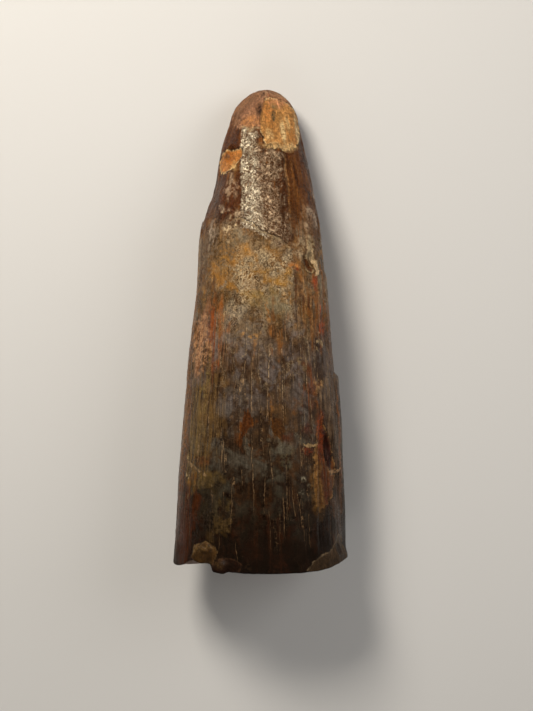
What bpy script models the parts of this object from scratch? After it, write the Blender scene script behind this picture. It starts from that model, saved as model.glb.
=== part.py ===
"""A fossil pterosaur tooth that lies on its hollow side.

The crown points along +Y and its broken base faces -Y. The tooth rests on the
plane z = 0, and the origin is on that plane, under the middle of its box.

Angles go round the crown in degrees: 0 is the right edge (+X), 90 the middle of
the shown side (+Z), 180 the left edge and 270 the middle of the resting side.
Distances along the crown start at its tip. Sizes are in millimetres until the
finished mesh is scaled to metres.
"""
import math
from typing import NamedTuple

import bmesh
import bpy
from mathutils import Matrix, Vector, noise

METRES_PER_MM = 0.001

LENGTH = 38.0
TIP_ROUNDING = 2.4
HOLLOW_RISE = 0.6
THICK_TO_WIDE_AT_TIP = 0.86
THICK_TO_WIDE_AT_BASE = 0.77

# Distance from the tip, half the width there, and how far the middle stands to the right.
OUTLINE = (
    (0.0, 2.16, 0.36),
    (2.8, 2.70, 0.20),
    (4.7, 3.18, 0.12),
    (7.5, 3.78, 0.18),
    (10.4, 4.42, 0.04),
    (12.3, 4.70, 0.00),
    (17.0, 5.20, 0.00),
    (23.6, 5.84, -0.03),
    (30.2, 6.38, -0.03),
    (38.0, 6.86, 0.00),
)

# Angle round the crown, and the distance from the tip at which the break cuts it off there.
BREAK_LINE = (
    (0.0, 36.9),
    (24.0, 37.3),
    (44.0, 37.7),
    (60.0, 37.85),
    (107.0, 37.8),
    (125.0, 37.2),
    (141.0, 37.0),
    (155.0, 37.5),
    (176.0, 37.4),
    (205.0, 37.1),
    (235.0, 36.6),
    (270.0, 37.0),
    (320.0, 37.2),
    (360.0, 36.9),
)
BREAK_DISH = 0.7
BREAK_ROUGHNESS = 0.32
BREAK_GRAIN_SIZE = 2.4
BREAK_STRETCH_FROM = 30.0

# Angle round the crown, and the distance at which the outer layer starts there.
LAYER_LINE = (
    (0.0, 15.0),
    (39.0, 13.9),
    (75.0, 12.2),
    (90.0, 11.6),
    (106.0, 10.7),
    (180.0, 10.4),
    (240.0, 11.8),
    (300.0, 13.5),
    (360.0, 15.0),
)
LAYER_THICKNESS = 0.13
LAYER_EDGE_WIDTH = 0.7
LAYER_FADE = 6.0

FLAKE_START = 22.3
FLAKE_EDGE_WIDTH = 0.8
FLAKE_FADE_FROM = 23.5
FLAKE_END = 33.0
FLAKE_ANGLES = (-46.0, 14.0)
FLAKE_ANGLE_SOFTNESS = 12.0
FLAKE_THICKNESS = 0.30

SCAR_TOP = 25.6
SCAR_END = 36.8
SCAR_TOP_ANGLE = 38.0
SCAR_LEFT_ANGLE_AT_END = 50.0
SCAR_RIGHT_ANGLE_AT_END = 2.0
SCAR_DEPTH = 0.30
SCAR_LEFT_SOFTNESS = 4.5
SCAR_RIGHT_SOFTNESS = 16.0

UNEVENNESS = 0.10
UNEVENNESS_SIZE = 5.0
RIDGE_HEIGHT = 0.11
RIDGES_ROUND = 2.1
RIDGE_STRETCH = 26.0

REST_WEAR = 0.17

SPOKES = 72
TIP_RINGS = 9
SHAFT_RINGS = 51
BREAK_RINGS = 6
WELD_DISTANCE = 0.0005

TOOTH_COLOUR = (0.130, 0.066, 0.030, 1.0)
TOOTH_ROUGHNESS = 0.42


class Spot(NamedTuple):
    """A lump (positive height) or a pit (negative height) with a soft rim."""

    angle: float
    distance: float
    half_round: float
    half_along: float
    height: float
    rim: float


SPOTS = {
    "left_chip": Spot(138.0, 5.5, 1.15, 0.85, -0.26, 0.35),
    "left_spall": Spot(166.0, 8.2, 1.30, 2.10, -0.15, 0.60),
    "tip_pit": Spot(104.0, 1.5, 0.32, 0.40, -0.22, 0.80),
    "right_chip": Spot(39.0, 13.9, 0.85, 0.75, -0.26, 0.45),
    "left_bruise": Spot(152.0, 19.5, 1.10, 2.20, -0.14, 0.70),
    "right_bruise": Spot(24.0, 19.0, 0.90, 1.90, -0.12, 0.70),
    "scar_groove": Spot(30.0, 28.4, 0.55, 1.40, -0.18, 0.70),
    "low_left_scoop": Spot(134.0, 32.6, 1.30, 1.50, -0.14, 0.70),
    "crumb": Spot(131.0, 36.2, 1.20, 0.95, 0.50, 0.65),
    "knob": Spot(117.0, 37.3, 1.00, 0.75, 0.34, 0.70),
    "hidden_spall": Spot(236.0, 20.5, 2.10, 3.40, -0.24, 0.35),
    "hidden_chip": Spot(304.0, 30.5, 1.60, 1.90, -0.22, 0.40),
    "hidden_base_chip": Spot(222.0, 36.4, 1.70, 1.50, -0.42, 0.60),
    "hidden_tip_chip": Spot(318.0, 6.2, 0.90, 1.20, -0.20, 0.45),
}
RIM_RAGGEDNESS = 0.22
RIM_RAGGED_SIZE = 0.9
KNOB_OVERHANG = 0.35
KNOB_INNER_FULLNESS = 0.6


class WearFacet(NamedTuple):
    """A flat that wear has cut on the tip: its middle, depth and lean towards the tip."""

    angle: float
    distance: float
    depth: float
    lean: float


WEAR_FACETS = {
    "right_facet": WearFacet(66.0, 2.5, 0.19, 28.0),
    "left_facet": WearFacet(124.0, 1.4, 0.15, 42.0),
    "hidden_facet": WearFacet(256.0, 2.0, 0.13, 24.0),
}


def ramp(low, high, value):
    """Rises smoothly from 0 at low to 1 at high."""
    share = min(max((value - low) / (high - low), 0.0), 1.0)
    return share * share * (3.0 - 2.0 * share)


def read_curve(points, at, column=1):
    """Reads a smooth curve through points at a place on their first column."""
    last = len(points) - 1
    index = 0
    while index < last - 1 and points[index + 1][0] <= at:
        index += 1
    x0 = points[index][0]
    x1 = points[index + 1][0]
    y0 = points[index][column]
    y1 = points[index + 1][column]
    before = points[max(index - 1, 0)]
    after = points[min(index + 2, last)]
    slope0 = (y1 - before[column]) / (x1 - before[0])
    slope1 = (after[column] - y0) / (after[0] - x0)
    span = x1 - x0
    share = min(max((at - x0) / span, 0.0), 1.0)
    square = share * share
    cube = square * share
    value = (2.0 * cube - 3.0 * square + 1.0) * y0 + (3.0 * square - 2.0 * cube) * y1
    return value + (cube - 2.0 * square + share) * span * slope0 + (cube - square) * span * slope1


def half_width(distance):
    """Half the crown's width at a distance from the tip, before the tip is rounded."""
    return read_curve(OUTLINE, distance, 1)


def half_thickness(distance):
    """Half the crown's thickness at a distance from the tip, before the tip is rounded."""
    share = distance / LENGTH
    ratio = THICK_TO_WIDE_AT_TIP + (THICK_TO_WIDE_AT_BASE - THICK_TO_WIDE_AT_TIP) * share
    return half_width(distance) * ratio


def crown_point(angle, distance, fullness):
    """A point of the plain crown; fullness is 1 on its side and 0 on its middle line."""
    turn = math.radians(angle)
    share = distance / LENGTH
    middle_x = read_curve(OUTLINE, distance, 2)
    middle_z = half_thickness(distance) + HOLLOW_RISE * 4.0 * share * (1.0 - share)
    x = middle_x + fullness * half_width(distance) * math.cos(turn)
    z = middle_z + fullness * half_thickness(distance) * math.sin(turn)
    return Vector((x, LENGTH / 2.0 - distance, z))


def turned_blank():
    """A closed turned blank of radius 1 that holds the crown's rings and spokes."""
    profile = []
    for ring in range(TIP_RINGS):
        turn = math.radians(90.0) * ring / TIP_RINGS
        profile.append((math.sin(turn), TIP_ROUNDING * (1.0 - math.cos(turn))))
    for ring in range(SHAFT_RINGS + 1):
        profile.append((1.0, TIP_ROUNDING + (LENGTH - TIP_ROUNDING) * ring / SHAFT_RINGS))
    for ring in range(1, BREAK_RINGS + 1):
        profile.append((1.0 - ring / BREAK_RINGS, LENGTH))
    blank = bmesh.new()
    previous = None
    for radius, distance in profile:
        corner = blank.verts.new((radius, -distance, 0.0))
        if previous is not None:
            blank.edges.new((previous, corner))
        previous = corner
    bmesh.ops.spin(
        blank,
        geom=blank.verts[:] + blank.edges[:],
        cent=(0.0, 0.0, 0.0),
        axis=(0.0, 1.0, 0.0),
        dvec=(0.0, 0.0, 0.0),
        angle=math.radians(360.0),
        steps=SPOKES,
        use_merge=True,
        use_duplicate=False,
    )
    bmesh.ops.remove_doubles(blank, verts=blank.verts[:], dist=WELD_DISTANCE)
    bmesh.ops.recalc_face_normals(blank, faces=blank.faces[:])
    return blank


def end_distance(angle, distance):
    """The distance after the shaft's last stretch is pulled to the line of the break."""
    stretch = ramp(BREAK_STRETCH_FROM, LENGTH, distance)
    return distance + (read_curve(BREAK_LINE, angle) - LENGTH) * stretch


def place_on_crown(blank):
    """Moves the blank's points to the plain crown and returns each one's angle and distance."""
    stations = []
    for corner in blank.verts:
        angle = math.degrees(math.atan2(corner.co.z, corner.co.x)) % 360.0
        fullness = math.hypot(corner.co.x, corner.co.z)
        distance = end_distance(angle, -corner.co.y)
        on_break = -corner.co.y > LENGTH - WELD_DISTANCE and fullness < 1.0 - WELD_DISTANCE
        place = crown_point(angle, distance, fullness)
        if on_break:
            rim_share = fullness ** 3
            mean_end = LENGTH - BREAK_DISH
            distance = mean_end + (distance - mean_end) * rim_share
            place = crown_point(angle, distance, fullness)
            grain = noise.noise(place / BREAK_GRAIN_SIZE)
            place.y += BREAK_ROUGHNESS * grain * (1.0 - fullness ** 4)
        corner.co = place
        stations.append((angle, distance, fullness, on_break))
    blank.normal_update()
    return stations


def angle_between(angle, other):
    """The signed turn from other to angle, from -180 to 180 degrees."""
    return (angle - other + 180.0) % 360.0 - 180.0


def spot_height(spot, angle, distance, place):
    """How far a spot lifts the surface at a point."""
    round_way = math.radians(angle_between(angle, spot.angle)) * half_width(distance)
    reach = math.hypot(round_way / spot.half_round, (distance - spot.distance) / spot.half_along)
    reach *= 1.0 + RIM_RAGGEDNESS * noise.noise(place / RIM_RAGGED_SIZE)
    return spot.height * (1.0 - ramp(1.0 - spot.rim, 1.0, reach))


def layer_height(angle, distance):
    """The outer layer: a ledge that starts on its line and thins towards the base."""
    past = distance - read_curve(LAYER_LINE, angle)
    return LAYER_THICKNESS * ramp(0.0, LAYER_EDGE_WIDTH, past) * (1.0 - ramp(LAYER_EDGE_WIDTH, LAYER_FADE, past))


def flake_height(angle, distance):
    """The flake that stands proud along the lower right edge, with a step at its top."""
    turn = angle_between(angle, 0.0)
    across = ramp(FLAKE_ANGLES[0], FLAKE_ANGLES[0] + FLAKE_ANGLE_SOFTNESS, turn)
    across *= 1.0 - ramp(FLAKE_ANGLES[1] - FLAKE_ANGLE_SOFTNESS, FLAKE_ANGLES[1], turn)
    lengthwise = ramp(FLAKE_START, FLAKE_START + FLAKE_EDGE_WIDTH, distance)
    lengthwise *= 1.0 - ramp(FLAKE_FADE_FROM, FLAKE_END, distance)
    return FLAKE_THICKNESS * across * lengthwise


def scar_height(angle, distance):
    """The long three-cornered scar on the lower right, steep on its left side."""
    share = min(max((distance - SCAR_TOP) / (SCAR_END - SCAR_TOP), 0.0), 1.0)
    left = SCAR_TOP_ANGLE + (SCAR_LEFT_ANGLE_AT_END - SCAR_TOP_ANGLE) * math.sqrt(share)
    right = SCAR_TOP_ANGLE + (SCAR_RIGHT_ANGLE_AT_END - SCAR_TOP_ANGLE) * share
    turn = angle_between(angle, 0.0)
    across = 1.0 - ramp(left - SCAR_LEFT_SOFTNESS, left, turn)
    across *= ramp(right - SCAR_RIGHT_SOFTNESS, right, turn)
    lengthwise = ramp(SCAR_TOP, SCAR_TOP + 1.0, distance) * (1.0 - ramp(SCAR_END - 1.0, SCAR_END, distance))
    return -SCAR_DEPTH * across * lengthwise


def natural_height(angle, place):
    """The slow unevenness and the broad lengthwise ridges of a grown crown."""
    turn = math.radians(angle)
    slow = noise.noise(place / UNEVENNESS_SIZE)
    ridge_place = Vector((math.cos(turn) * RIDGES_ROUND, math.sin(turn) * RIDGES_ROUND, place.y / RIDGE_STRETCH))
    return UNEVENNESS * slow + RIDGE_HEIGHT * noise.noise(ridge_place)


def carve_forms(blank, stations):
    """Lifts and sinks the surface for every form that the crown carries."""
    for corner, (angle, distance, fullness, on_break) in zip(blank.verts, stations):
        place = corner.co.copy()
        if on_break:
            near_rim = ramp(KNOB_INNER_FULLNESS, 1.0, fullness)
            corner.co.y -= spot_height(SPOTS["knob"], angle, distance, place) * near_rim
            continue
        height = natural_height(angle, place) * fullness
        height += layer_height(angle, distance)
        height += flake_height(angle, distance)
        height += scar_height(angle, distance)
        height += sum(spot_height(spot, angle, distance, place) for spot in SPOTS.values())
        outward = Vector((corner.normal.x, max(corner.normal.y, 0.0), corner.normal.z)).normalized()
        corner.co += outward * height
        knob_share = spot_height(SPOTS["knob"], angle, distance, place) / SPOTS["knob"].height
        corner.co.y -= KNOB_OVERHANG * knob_share


def cut_wear_facets(blank):
    """Presses the tip's points down to each wear facet's plane."""
    for facet in WEAR_FACETS.values():
        turn = math.radians(facet.angle)
        share = min(facet.distance / TIP_ROUNDING, 1.0)
        fullness = math.sqrt(1.0 - (1.0 - share) ** 2)
        middle = crown_point(facet.angle, facet.distance, fullness)
        across = Vector((math.cos(turn), 0.0, math.sin(turn)))
        lean = math.radians(facet.lean)
        facing = across * math.cos(lean) + Vector((0.0, math.sin(lean), 0.0))
        on_plane = middle - facing * facet.depth
        for corner in blank.verts:
            over = (corner.co - on_plane).dot(facing)
            if over > 0.0:
                corner.co -= facing * over


def settle_on_plane(blank):
    """Wears the resting side flat where it touches, and puts the origin under the middle."""
    floor = min(corner.co.z for corner in blank.verts) + REST_WEAR
    for corner in blank.verts:
        corner.co.z = max(corner.co.z - floor, 0.0)
    lows = [min(corner.co[axis] for corner in blank.verts) for axis in (0, 1)]
    highs = [max(corner.co[axis] for corner in blank.verts) for axis in (0, 1)]
    middle = Vector(((lows[0] + highs[0]) / 2.0, (lows[1] + highs[1]) / 2.0, 0.0))
    bmesh.ops.translate(blank, verts=blank.verts[:], vec=-middle)


def plain_material(name, colour, roughness):
    """A Principled material with one colour, one roughness and no metal."""
    material = bpy.data.materials.new(name)
    material.use_nodes = True
    shader = material.node_tree.nodes["Principled BSDF"]
    shader.inputs["Base Color"].default_value = colour
    shader.inputs["Roughness"].default_value = roughness
    shader.inputs["Metallic"].default_value = 0.0
    return material


def build_tooth():
    """Makes the one solid: the fossil crown with its worn tip and broken base."""
    blank = turned_blank()
    stations = place_on_crown(blank)
    carve_forms(blank, stations)
    cut_wear_facets(blank)
    settle_on_plane(blank)
    bmesh.ops.transform(blank, matrix=Matrix.Scale(METRES_PER_MM, 4), verts=blank.verts[:])
    bmesh.ops.triangulate(blank, faces=blank.faces[:])
    bmesh.ops.recalc_face_normals(blank, faces=blank.faces[:])
    mesh = bpy.data.meshes.new("tooth")
    blank.to_mesh(mesh)
    blank.free()
    mesh.shade_smooth()
    mesh.materials.append(plain_material("tooth", TOOTH_COLOUR, TOOTH_ROUGHNESS))
    tooth = bpy.data.objects.new("tooth", mesh)
    bpy.context.scene.collection.objects.link(tooth)
    return tooth


for old in list(bpy.data.objects):
    bpy.data.objects.remove(old)
build_tooth()
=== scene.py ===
"""The looks of a fossil pterosaur tooth that lies on its hollow side.

The tooth's surface is described by its own coordinates. Its angle goes round the
crown in degrees: 0 is the right edge (+X), 90 the middle of the shown side, 180
the left edge and 270 the middle of the resting side. Its distance starts at the
tip. Shapes are in millimetres until the finished mesh is scaled to metres.
"""

import logging
import math
from dataclasses import dataclass, field
from enum import Enum

import bmesh
import bpy
import numpy as np
from bpy.types import ID, Material, Mesh, Node, NodeSocket, NodeTree, Object
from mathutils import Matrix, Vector, noise


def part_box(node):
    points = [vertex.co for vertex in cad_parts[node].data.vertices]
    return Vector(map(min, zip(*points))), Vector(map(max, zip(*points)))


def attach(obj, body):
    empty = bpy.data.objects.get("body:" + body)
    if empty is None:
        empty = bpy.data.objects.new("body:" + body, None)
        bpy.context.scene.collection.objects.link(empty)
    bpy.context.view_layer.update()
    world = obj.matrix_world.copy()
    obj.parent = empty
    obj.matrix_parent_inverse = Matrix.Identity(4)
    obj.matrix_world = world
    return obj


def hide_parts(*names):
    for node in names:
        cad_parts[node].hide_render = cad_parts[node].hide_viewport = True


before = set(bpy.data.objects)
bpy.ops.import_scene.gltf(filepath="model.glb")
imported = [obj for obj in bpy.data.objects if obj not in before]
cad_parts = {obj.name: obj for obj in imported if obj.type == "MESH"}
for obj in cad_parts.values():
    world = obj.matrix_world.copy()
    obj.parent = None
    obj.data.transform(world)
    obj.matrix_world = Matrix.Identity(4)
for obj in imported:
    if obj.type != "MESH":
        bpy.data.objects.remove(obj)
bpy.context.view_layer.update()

LOG = logging.getLogger("tooth")
METRES_PER_MM = 0.001
WELD_DISTANCE = 0.0005
LAYER_LINE_TOP = 20.0
PAINTED_FALLOFF_TOP = 2.0

Array = np.ndarray
Pair = tuple[float, float]
Curve = tuple[tuple[float, ...], ...]
Colour = tuple[int, int, int]
Outline = tuple[Pair, ...]
MarkPlace = tuple[float, float, float, float]


def ramp(low: float, high: float, value: Array) -> Array:
    """Rises smoothly from 0 where a value is low to 1 where it is high."""
    share = np.clip((value - low) / (high - low), 0.0, 1.0)
    return share * share * (3.0 - 2.0 * share)


def read_curve(points: Curve, at: Array, column: int = 1) -> Array:
    """Reads a smooth curve through a few points.

    Args:
        points: Rows of numbers, the first of which is the place on the curve.
        at: The places to read.
        column: Which of a row's numbers to read.

    Returns:
        The curve's value at each place.
    """
    table = np.array(points)
    x = table[:, 0]
    y = table[:, column]
    last = len(x) - 1
    index = np.clip(np.searchsorted(x, at, side="right") - 1, 0, last - 1)
    before = np.maximum(index - 1, 0)
    after = np.minimum(index + 2, last)
    slope0 = (y[index + 1] - y[before]) / (x[index + 1] - x[before])
    slope1 = (y[after] - y[index]) / (x[after] - x[index])
    span = x[index + 1] - x[index]
    share = np.clip((at - x[index]) / span, 0.0, 1.0)
    square = share * share
    cube = square * share
    value = (2.0 * cube - 3.0 * square + 1.0) * y[index] + (3.0 * square - 2.0 * cube) * y[index + 1]
    return value + (cube - 2.0 * square + share) * span * slope0 + (cube - square) * span * slope1


def noise_at(places: Array, size: float, shift: float = 0.0) -> Array:
    """Reads smooth noise of a feature size at rows of places, shifted so that layers differ."""
    scaled = places / size + shift
    return np.array([noise.noise(row) for row in scaled.tolist()])


def crown_places(angle: Array, around: Array | float, along: Array) -> Array:
    """Places for noise that closes round the crown and runs along it."""
    turn = np.radians(angle)
    return np.stack([np.cos(turn) * around, np.sin(turn) * around, along], axis=-1)


def face_corners(mesh: Mesh) -> tuple[Array, Array]:
    """The point of each face corner, and where each face's corners start."""
    corners = np.empty(len(mesh.loops), dtype=np.int64)
    mesh.loops.foreach_get("vertex_index", corners)
    starts = np.empty(len(mesh.polygons), dtype=np.int64)
    mesh.polygons.foreach_get("loop_start", starts)
    return corners, starts


def add_object(name: str, data: ID) -> Object:
    """Puts a mesh, light or camera into the scene."""
    made = bpy.data.objects.new(name, data)
    bpy.context.scene.collection.objects.link(made)
    return made


def new_material(name: str) -> tuple[Material, Node]:
    """Makes a material and returns it with its shader."""
    material = bpy.data.materials.new(name)
    material.use_nodes = True
    return material, material.node_tree.nodes["Principled BSDF"]


def linear(colour: Colour) -> tuple[float, float, float, float]:
    """Turns a display colour from 0 to 255 into the linear colour that a shader takes."""
    parts = [value / 255.0 for value in colour]
    bright = [part / 12.92 if part <= 0.04045 else ((part + 0.055) / 1.055) ** 2.4 for part in parts]
    return (bright[0], bright[1], bright[2], 1.0)


@dataclass
class Skin:
    """The surface coordinates of a mesh's points, one entry for each point."""

    angle: Array
    distance: Array
    fullness: Array
    on_break: Array
    place: Array

    def turn_from(self, angle: float) -> Array:
        """The signed turn from an angle to each point, from -180 to 180 degrees."""
        return (self.angle - angle + 180.0) % 360.0 - 180.0


@dataclass
class CrownShape:
    """The plain crown: an oval cone with a round tip, slightly hollow on its resting side."""

    length: float = 38.0
    tip_rounding: float = 2.4
    hollow_rise: float = 0.6
    thick_to_wide_at_tip: float = 0.86
    thick_to_wide_at_base: float = 0.77
    outline: Curve = (
        (0, 2.16, 0.36), (2.8, 2.7, 0.2), (4.7, 3.18, 0.12), (7.5, 3.78, 0.18), (10.4, 4.42, 0.04),
        (12.3, 4.7, 0), (17, 5.2, 0), (23.6, 5.84, -0.03), (30.2, 6.38, -0.03), (38, 6.86, 0),
    )
    break_line: Curve = (
        (0, 36.9), (24, 37.3), (44, 37.7), (60, 37.85), (107, 37.8), (125, 37.2), (141, 37),
        (155, 37.5), (176, 37.4), (205, 37.1), (235, 36.6), (270, 37), (320, 37.2), (360, 36.9),
    )
    break_dish: float = 0.7
    break_roughness: float = 0.32
    break_grain_size: float = 2.4
    break_stretch_from: float = 30.0

    def half_width(self, distance: Array) -> Array:
        """Half the crown's width at each distance, before the tip is rounded."""
        return read_curve(self.outline, distance, 1)

    def half_thickness(self, distance: Array) -> Array:
        """Half the crown's thickness at each distance, before the tip is rounded."""
        gain = self.thick_to_wide_at_base - self.thick_to_wide_at_tip
        return self.half_width(distance) * (self.thick_to_wide_at_tip + gain * distance / self.length)

    def point(self, angle: Array, distance: Array, fullness: Array) -> Array:
        """Finds points of the plain crown.

        Args:
            angle: Degrees round the crown.
            distance: Millimetres from the tip.
            fullness: 1 on the side, 0 on the middle line.

        Returns:
            Rows of x, y and z in millimetres.
        """
        turn = np.radians(angle)
        share = distance / self.length
        middle_x = read_curve(self.outline, distance, 2)
        middle_z = self.half_thickness(distance) + self.hollow_rise * 4.0 * share * (1.0 - share)
        x = middle_x + fullness * self.half_width(distance) * np.cos(turn)
        z = middle_z + fullness * self.half_thickness(distance) * np.sin(turn)
        return np.stack([x, self.length / 2.0 - distance, z], axis=-1)

    def end_distance(self, angle: Array, distance: Array) -> Array:
        """The distances once the shaft's last stretch is pulled to the line of the break."""
        stretch = ramp(self.break_stretch_from, self.length, distance)
        return distance + (read_curve(self.break_line, angle) - self.length) * stretch


@dataclass(frozen=True)
class Spot:
    """A lump (positive height) or a pit (negative height) with a soft, ragged rim."""

    angle: float
    distance: float
    half_round: float
    half_along: float
    height: float
    rim: float

    def share(self, skin: Skin, shape: CrownShape, rag: Array) -> Array:
        """How strongly the spot acts on each point.

        Args:
            skin: The points.
            shape: The crown that they lie on.
            rag: The raggedness of rims at each point.

        Returns:
            1 in the spot's middle, 0 outside it.
        """
        round_way = np.radians(skin.turn_from(self.angle)) * shape.half_width(skin.distance)
        reach = np.hypot(round_way / self.half_round, (skin.distance - self.distance) / self.half_along)
        return 1.0 - ramp(1.0 - self.rim, 1.0, reach * (1.0 + rag))


@dataclass(frozen=True)
class WearFacet:
    """A flat that wear has cut on the tip: its middle, depth and lean towards the tip."""

    angle: float
    distance: float
    depth: float
    lean: float


@dataclass(frozen=True)
class Crack:
    """A lengthwise crack, by the picture points of its upper and lower end."""

    top_x: float
    top_y: float
    bottom_x: float
    bottom_y: float
    strength: float = 1.0


@dataclass
class PhotoView:
    """The straight look down on the tooth, in a picture of 533 by 711 pixels."""

    picture_wide: float = 533.0
    picture_high: float = 711.0
    mm_per_pixel: float = 0.0787
    lens: float = 110.0
    sensor: float = 36.0
    sharp_height: float = 4.5
    aim_x: float = 0.472
    aim_y: float = -2.306
    settle_steps: int = 12

    def camera_height(self) -> float:
        """How far over the floor the camera hangs, in millimetres."""
        return self.sharp_height + self.lens / self.sensor * self.picture_high * self.mm_per_pixel

    def pixel_to_place(self, pixel: Pair, height: float) -> Pair:
        """Finds the place under a pixel.

        Args:
            pixel: The picture point.
            height: The height over the floor in millimetres.

        Returns:
            The place's x and y in millimetres.
        """
        span = (self.camera_height() - height) * self.sensor / self.lens / self.picture_high
        x = self.aim_x + (pixel[0] - self.picture_wide / 2.0) * span
        y = self.aim_y - (pixel[1] - self.picture_high / 2.0) * span
        return x, y


@dataclass
class ToothSurface:
    """The main forms of the crown, and the fine relief that scene.py adds to them."""

    shape: CrownShape = field(default_factory=CrownShape)
    view: PhotoView = field(default_factory=PhotoView)
    layer_line: Curve = (
        (0, 15), (39, 13.9), (75, 12.2), (90, 11.6), (106, 10.7), (180, 10.4), (240, 11.8), (300, 13.5),
        (360, 15),
    )
    layer_thickness: float = 0.13
    layer_edge_width: float = 0.28
    layer_fade: float = 6.0
    layer_wander: float = 0.55
    layer_wander_size: float = 1.3
    flake_start: float = 22.5
    flake_edge_width: float = 0.45
    flake_fade_from: float = 23.5
    flake_end: float = 33.0
    flake_angles: Pair = (-46.0, 14.0)
    flake_softness: float = 12.0
    flake_thickness: float = 0.3
    scar_top: float = 25.6
    scar_end: float = 36.8
    scar_top_angle: float = 38.0
    scar_left_angle: float = 50.0
    scar_right_angle: float = 2.0
    scar_depth: float = 0.3
    scar_left_softness: float = 2.6
    scar_right_softness: float = 14.0
    unevenness: float = 0.1
    unevenness_size: float = 5.0
    ridge_height: float = 0.11
    ridges_round: float = 2.1
    ridge_stretch: float = 26.0
    rest_wear: float = 0.17
    rim_raggedness: float = 0.22
    rim_ragged_size: float = 0.9
    knob_overhang: float = 0.35
    knob_inner_fullness: float = 0.6
    facet_dome: float = 0.1
    spots: dict[str, Spot] = field(
        default_factory=lambda: {
            "left_chip": Spot(138, 5.5, 1.15, 0.85, -0.26, 0.25),
            "left_spall": Spot(166, 8.2, 1.3, 2.1, -0.15, 0.6),
            "tip_pit": Spot(104, 1.5, 0.32, 0.4, -0.22, 0.8),
            "right_chip": Spot(39, 13.9, 0.85, 0.75, -0.26, 0.35),
            "left_bruise": Spot(152, 19.5, 1.1, 2.2, -0.14, 0.7),
            "right_bruise": Spot(24, 19, 0.9, 1.9, -0.12, 0.7),
            "scar_groove": Spot(30, 28.4, 0.55, 1.4, -0.18, 0.6),
            "low_left_scoop": Spot(134, 32.6, 1.3, 1.5, -0.14, 0.7),
            "crumb": Spot(131, 36.5, 1.12, 0.92, 0.42, 0.3),
            "knob": Spot(117, 37.3, 1.00, 0.75, 0.34, 0.7),
            "hidden_spall": Spot(236, 20.5, 2.1, 3.4, -0.24, 0.25),
            "hidden_chip": Spot(304, 30.5, 1.6, 1.9, -0.22, 0.3),
            "hidden_base_chip": Spot(222, 36.4, 1.7, 1.5, -0.42, 0.5),
            "hidden_tip_chip": Spot(318, 6.2, 0.9, 1.2, -0.2, 0.35),
        }
    )
    facets: dict[str, WearFacet] = field(
        default_factory=lambda: {
            "right_facet": WearFacet(66, 2.5, 0.19, 28),
            "left_facet": WearFacet(124, 1.4, 0.15, 42),
            "hidden_facet": WearFacet(256, 2, 0.13, 24),
        }
    )
    cracks: tuple[Crack, ...] = (
        Crack(219.5, 328, 220.5, 382), Crack(225, 325, 227, 366), Crack(223, 426, 223.5, 480),
        Crack(232.5, 462, 233.5, 506), Crack(240.5, 458, 241.5, 502), Crack(242, 352, 245, 410),
        Crack(252.5, 338, 251, 424), Crack(251, 424, 254, 528, 0.9), Crack(264, 468, 264.5, 524),
        Crack(268.7, 340, 266, 430, 1.1), Crack(266, 424, 273, 496, 0.9), Crack(273.5, 508, 274, 548, 0.8),
        Crack(280, 322, 281.5, 410), Crack(282, 484, 284, 546, 1.1), Crack(284.7, 315, 287, 372),
        Crack(290, 478, 295, 534, 1.1), Crack(291, 326, 292.5, 366), Crack(295, 482, 304, 544, 1.1),
        Crack(305, 480, 310.5, 514), Crack(305, 332, 307.5, 410), Crack(303, 400, 303.5, 466),
        Crack(313, 340, 315, 392), Crack(320, 293, 325, 335), Crack(300, 286, 303, 330),
        Crack(228, 296, 226.5, 340), Crack(201, 382, 202, 455), Crack(196, 390, 194.5, 450),
        Crack(212.5, 380, 213.5, 434), Crack(207, 392, 207.5, 452), Crack(337, 462, 338.5, 500),
        Crack(333, 395, 335.5, 440), Crack(236, 534, 236.5, 574), Crack(318, 505, 321, 550),
    )
    crack_depth: float = 0.045
    crack_half_width: float = 0.16
    frost_height: float = 0.05
    wrinkle_size: float = 0.42
    wrinkle_stretch: float = 0.55
    fibre_height: float = 0.03
    fibre_count: float = 15.0
    fibre_stretch: float = 3.2
    fibre_start: Pair = (2.0, 6.0)
    grain_height: float = 0.014
    grain_size: float = 0.34
    facet_grain: float = 0.035
    facet_grain_size: float = 0.45
    tip_end: Pair = (2.2, 4.4)
    crumb_grain: float = 0.12
    crumb_grain_sizes: Pair = (0.36, 0.18)
    break_grain: float = 0.16
    break_grain_sizes: Pair = (1.1, 0.45)
    terraces: float = 3.0
    floor_gap: float = 0.35
    chip_seed: int = 41
    chip_count: int = 110
    chip_sizes: Pair = (0.12, 0.42)
    chip_depths: Pair = (0.03, 0.10)
    chip_stretch: Pair = (0.9, 2.4)
    centre_x: float = 0.0
    centre_y: float = 0.05
    floor: float = 0.15
    steepest: float = 0.985

    def layer_height(self, skin: Skin, wander: Array) -> Array:
        """The outer layer: a ledge that starts on its line and thins towards the base.

        Args:
            skin: The points.
            wander: How far the ledge's line strays at each point, in millimetres.

        Returns:
            The lift of each point in millimetres.
        """
        past = skin.distance - read_curve(self.layer_line, skin.angle) + wander
        rise = ramp(0.0, self.layer_edge_width, past)
        return self.layer_thickness * rise * (1.0 - ramp(self.layer_edge_width, self.layer_fade, past))

    def flake_height(self, skin: Skin) -> Array:
        """The lift of the flake along the lower right edge, with a step at its top."""
        turn = skin.turn_from(0.0)
        low, high = self.flake_angles
        across = ramp(low, low + self.flake_softness, turn)
        across *= 1.0 - ramp(high - self.flake_softness, high, turn)
        lengthwise = ramp(self.flake_start, self.flake_start + self.flake_edge_width, skin.distance)
        lengthwise *= 1.0 - ramp(self.flake_fade_from, self.flake_end, skin.distance)
        return self.flake_thickness * across * lengthwise

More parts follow.
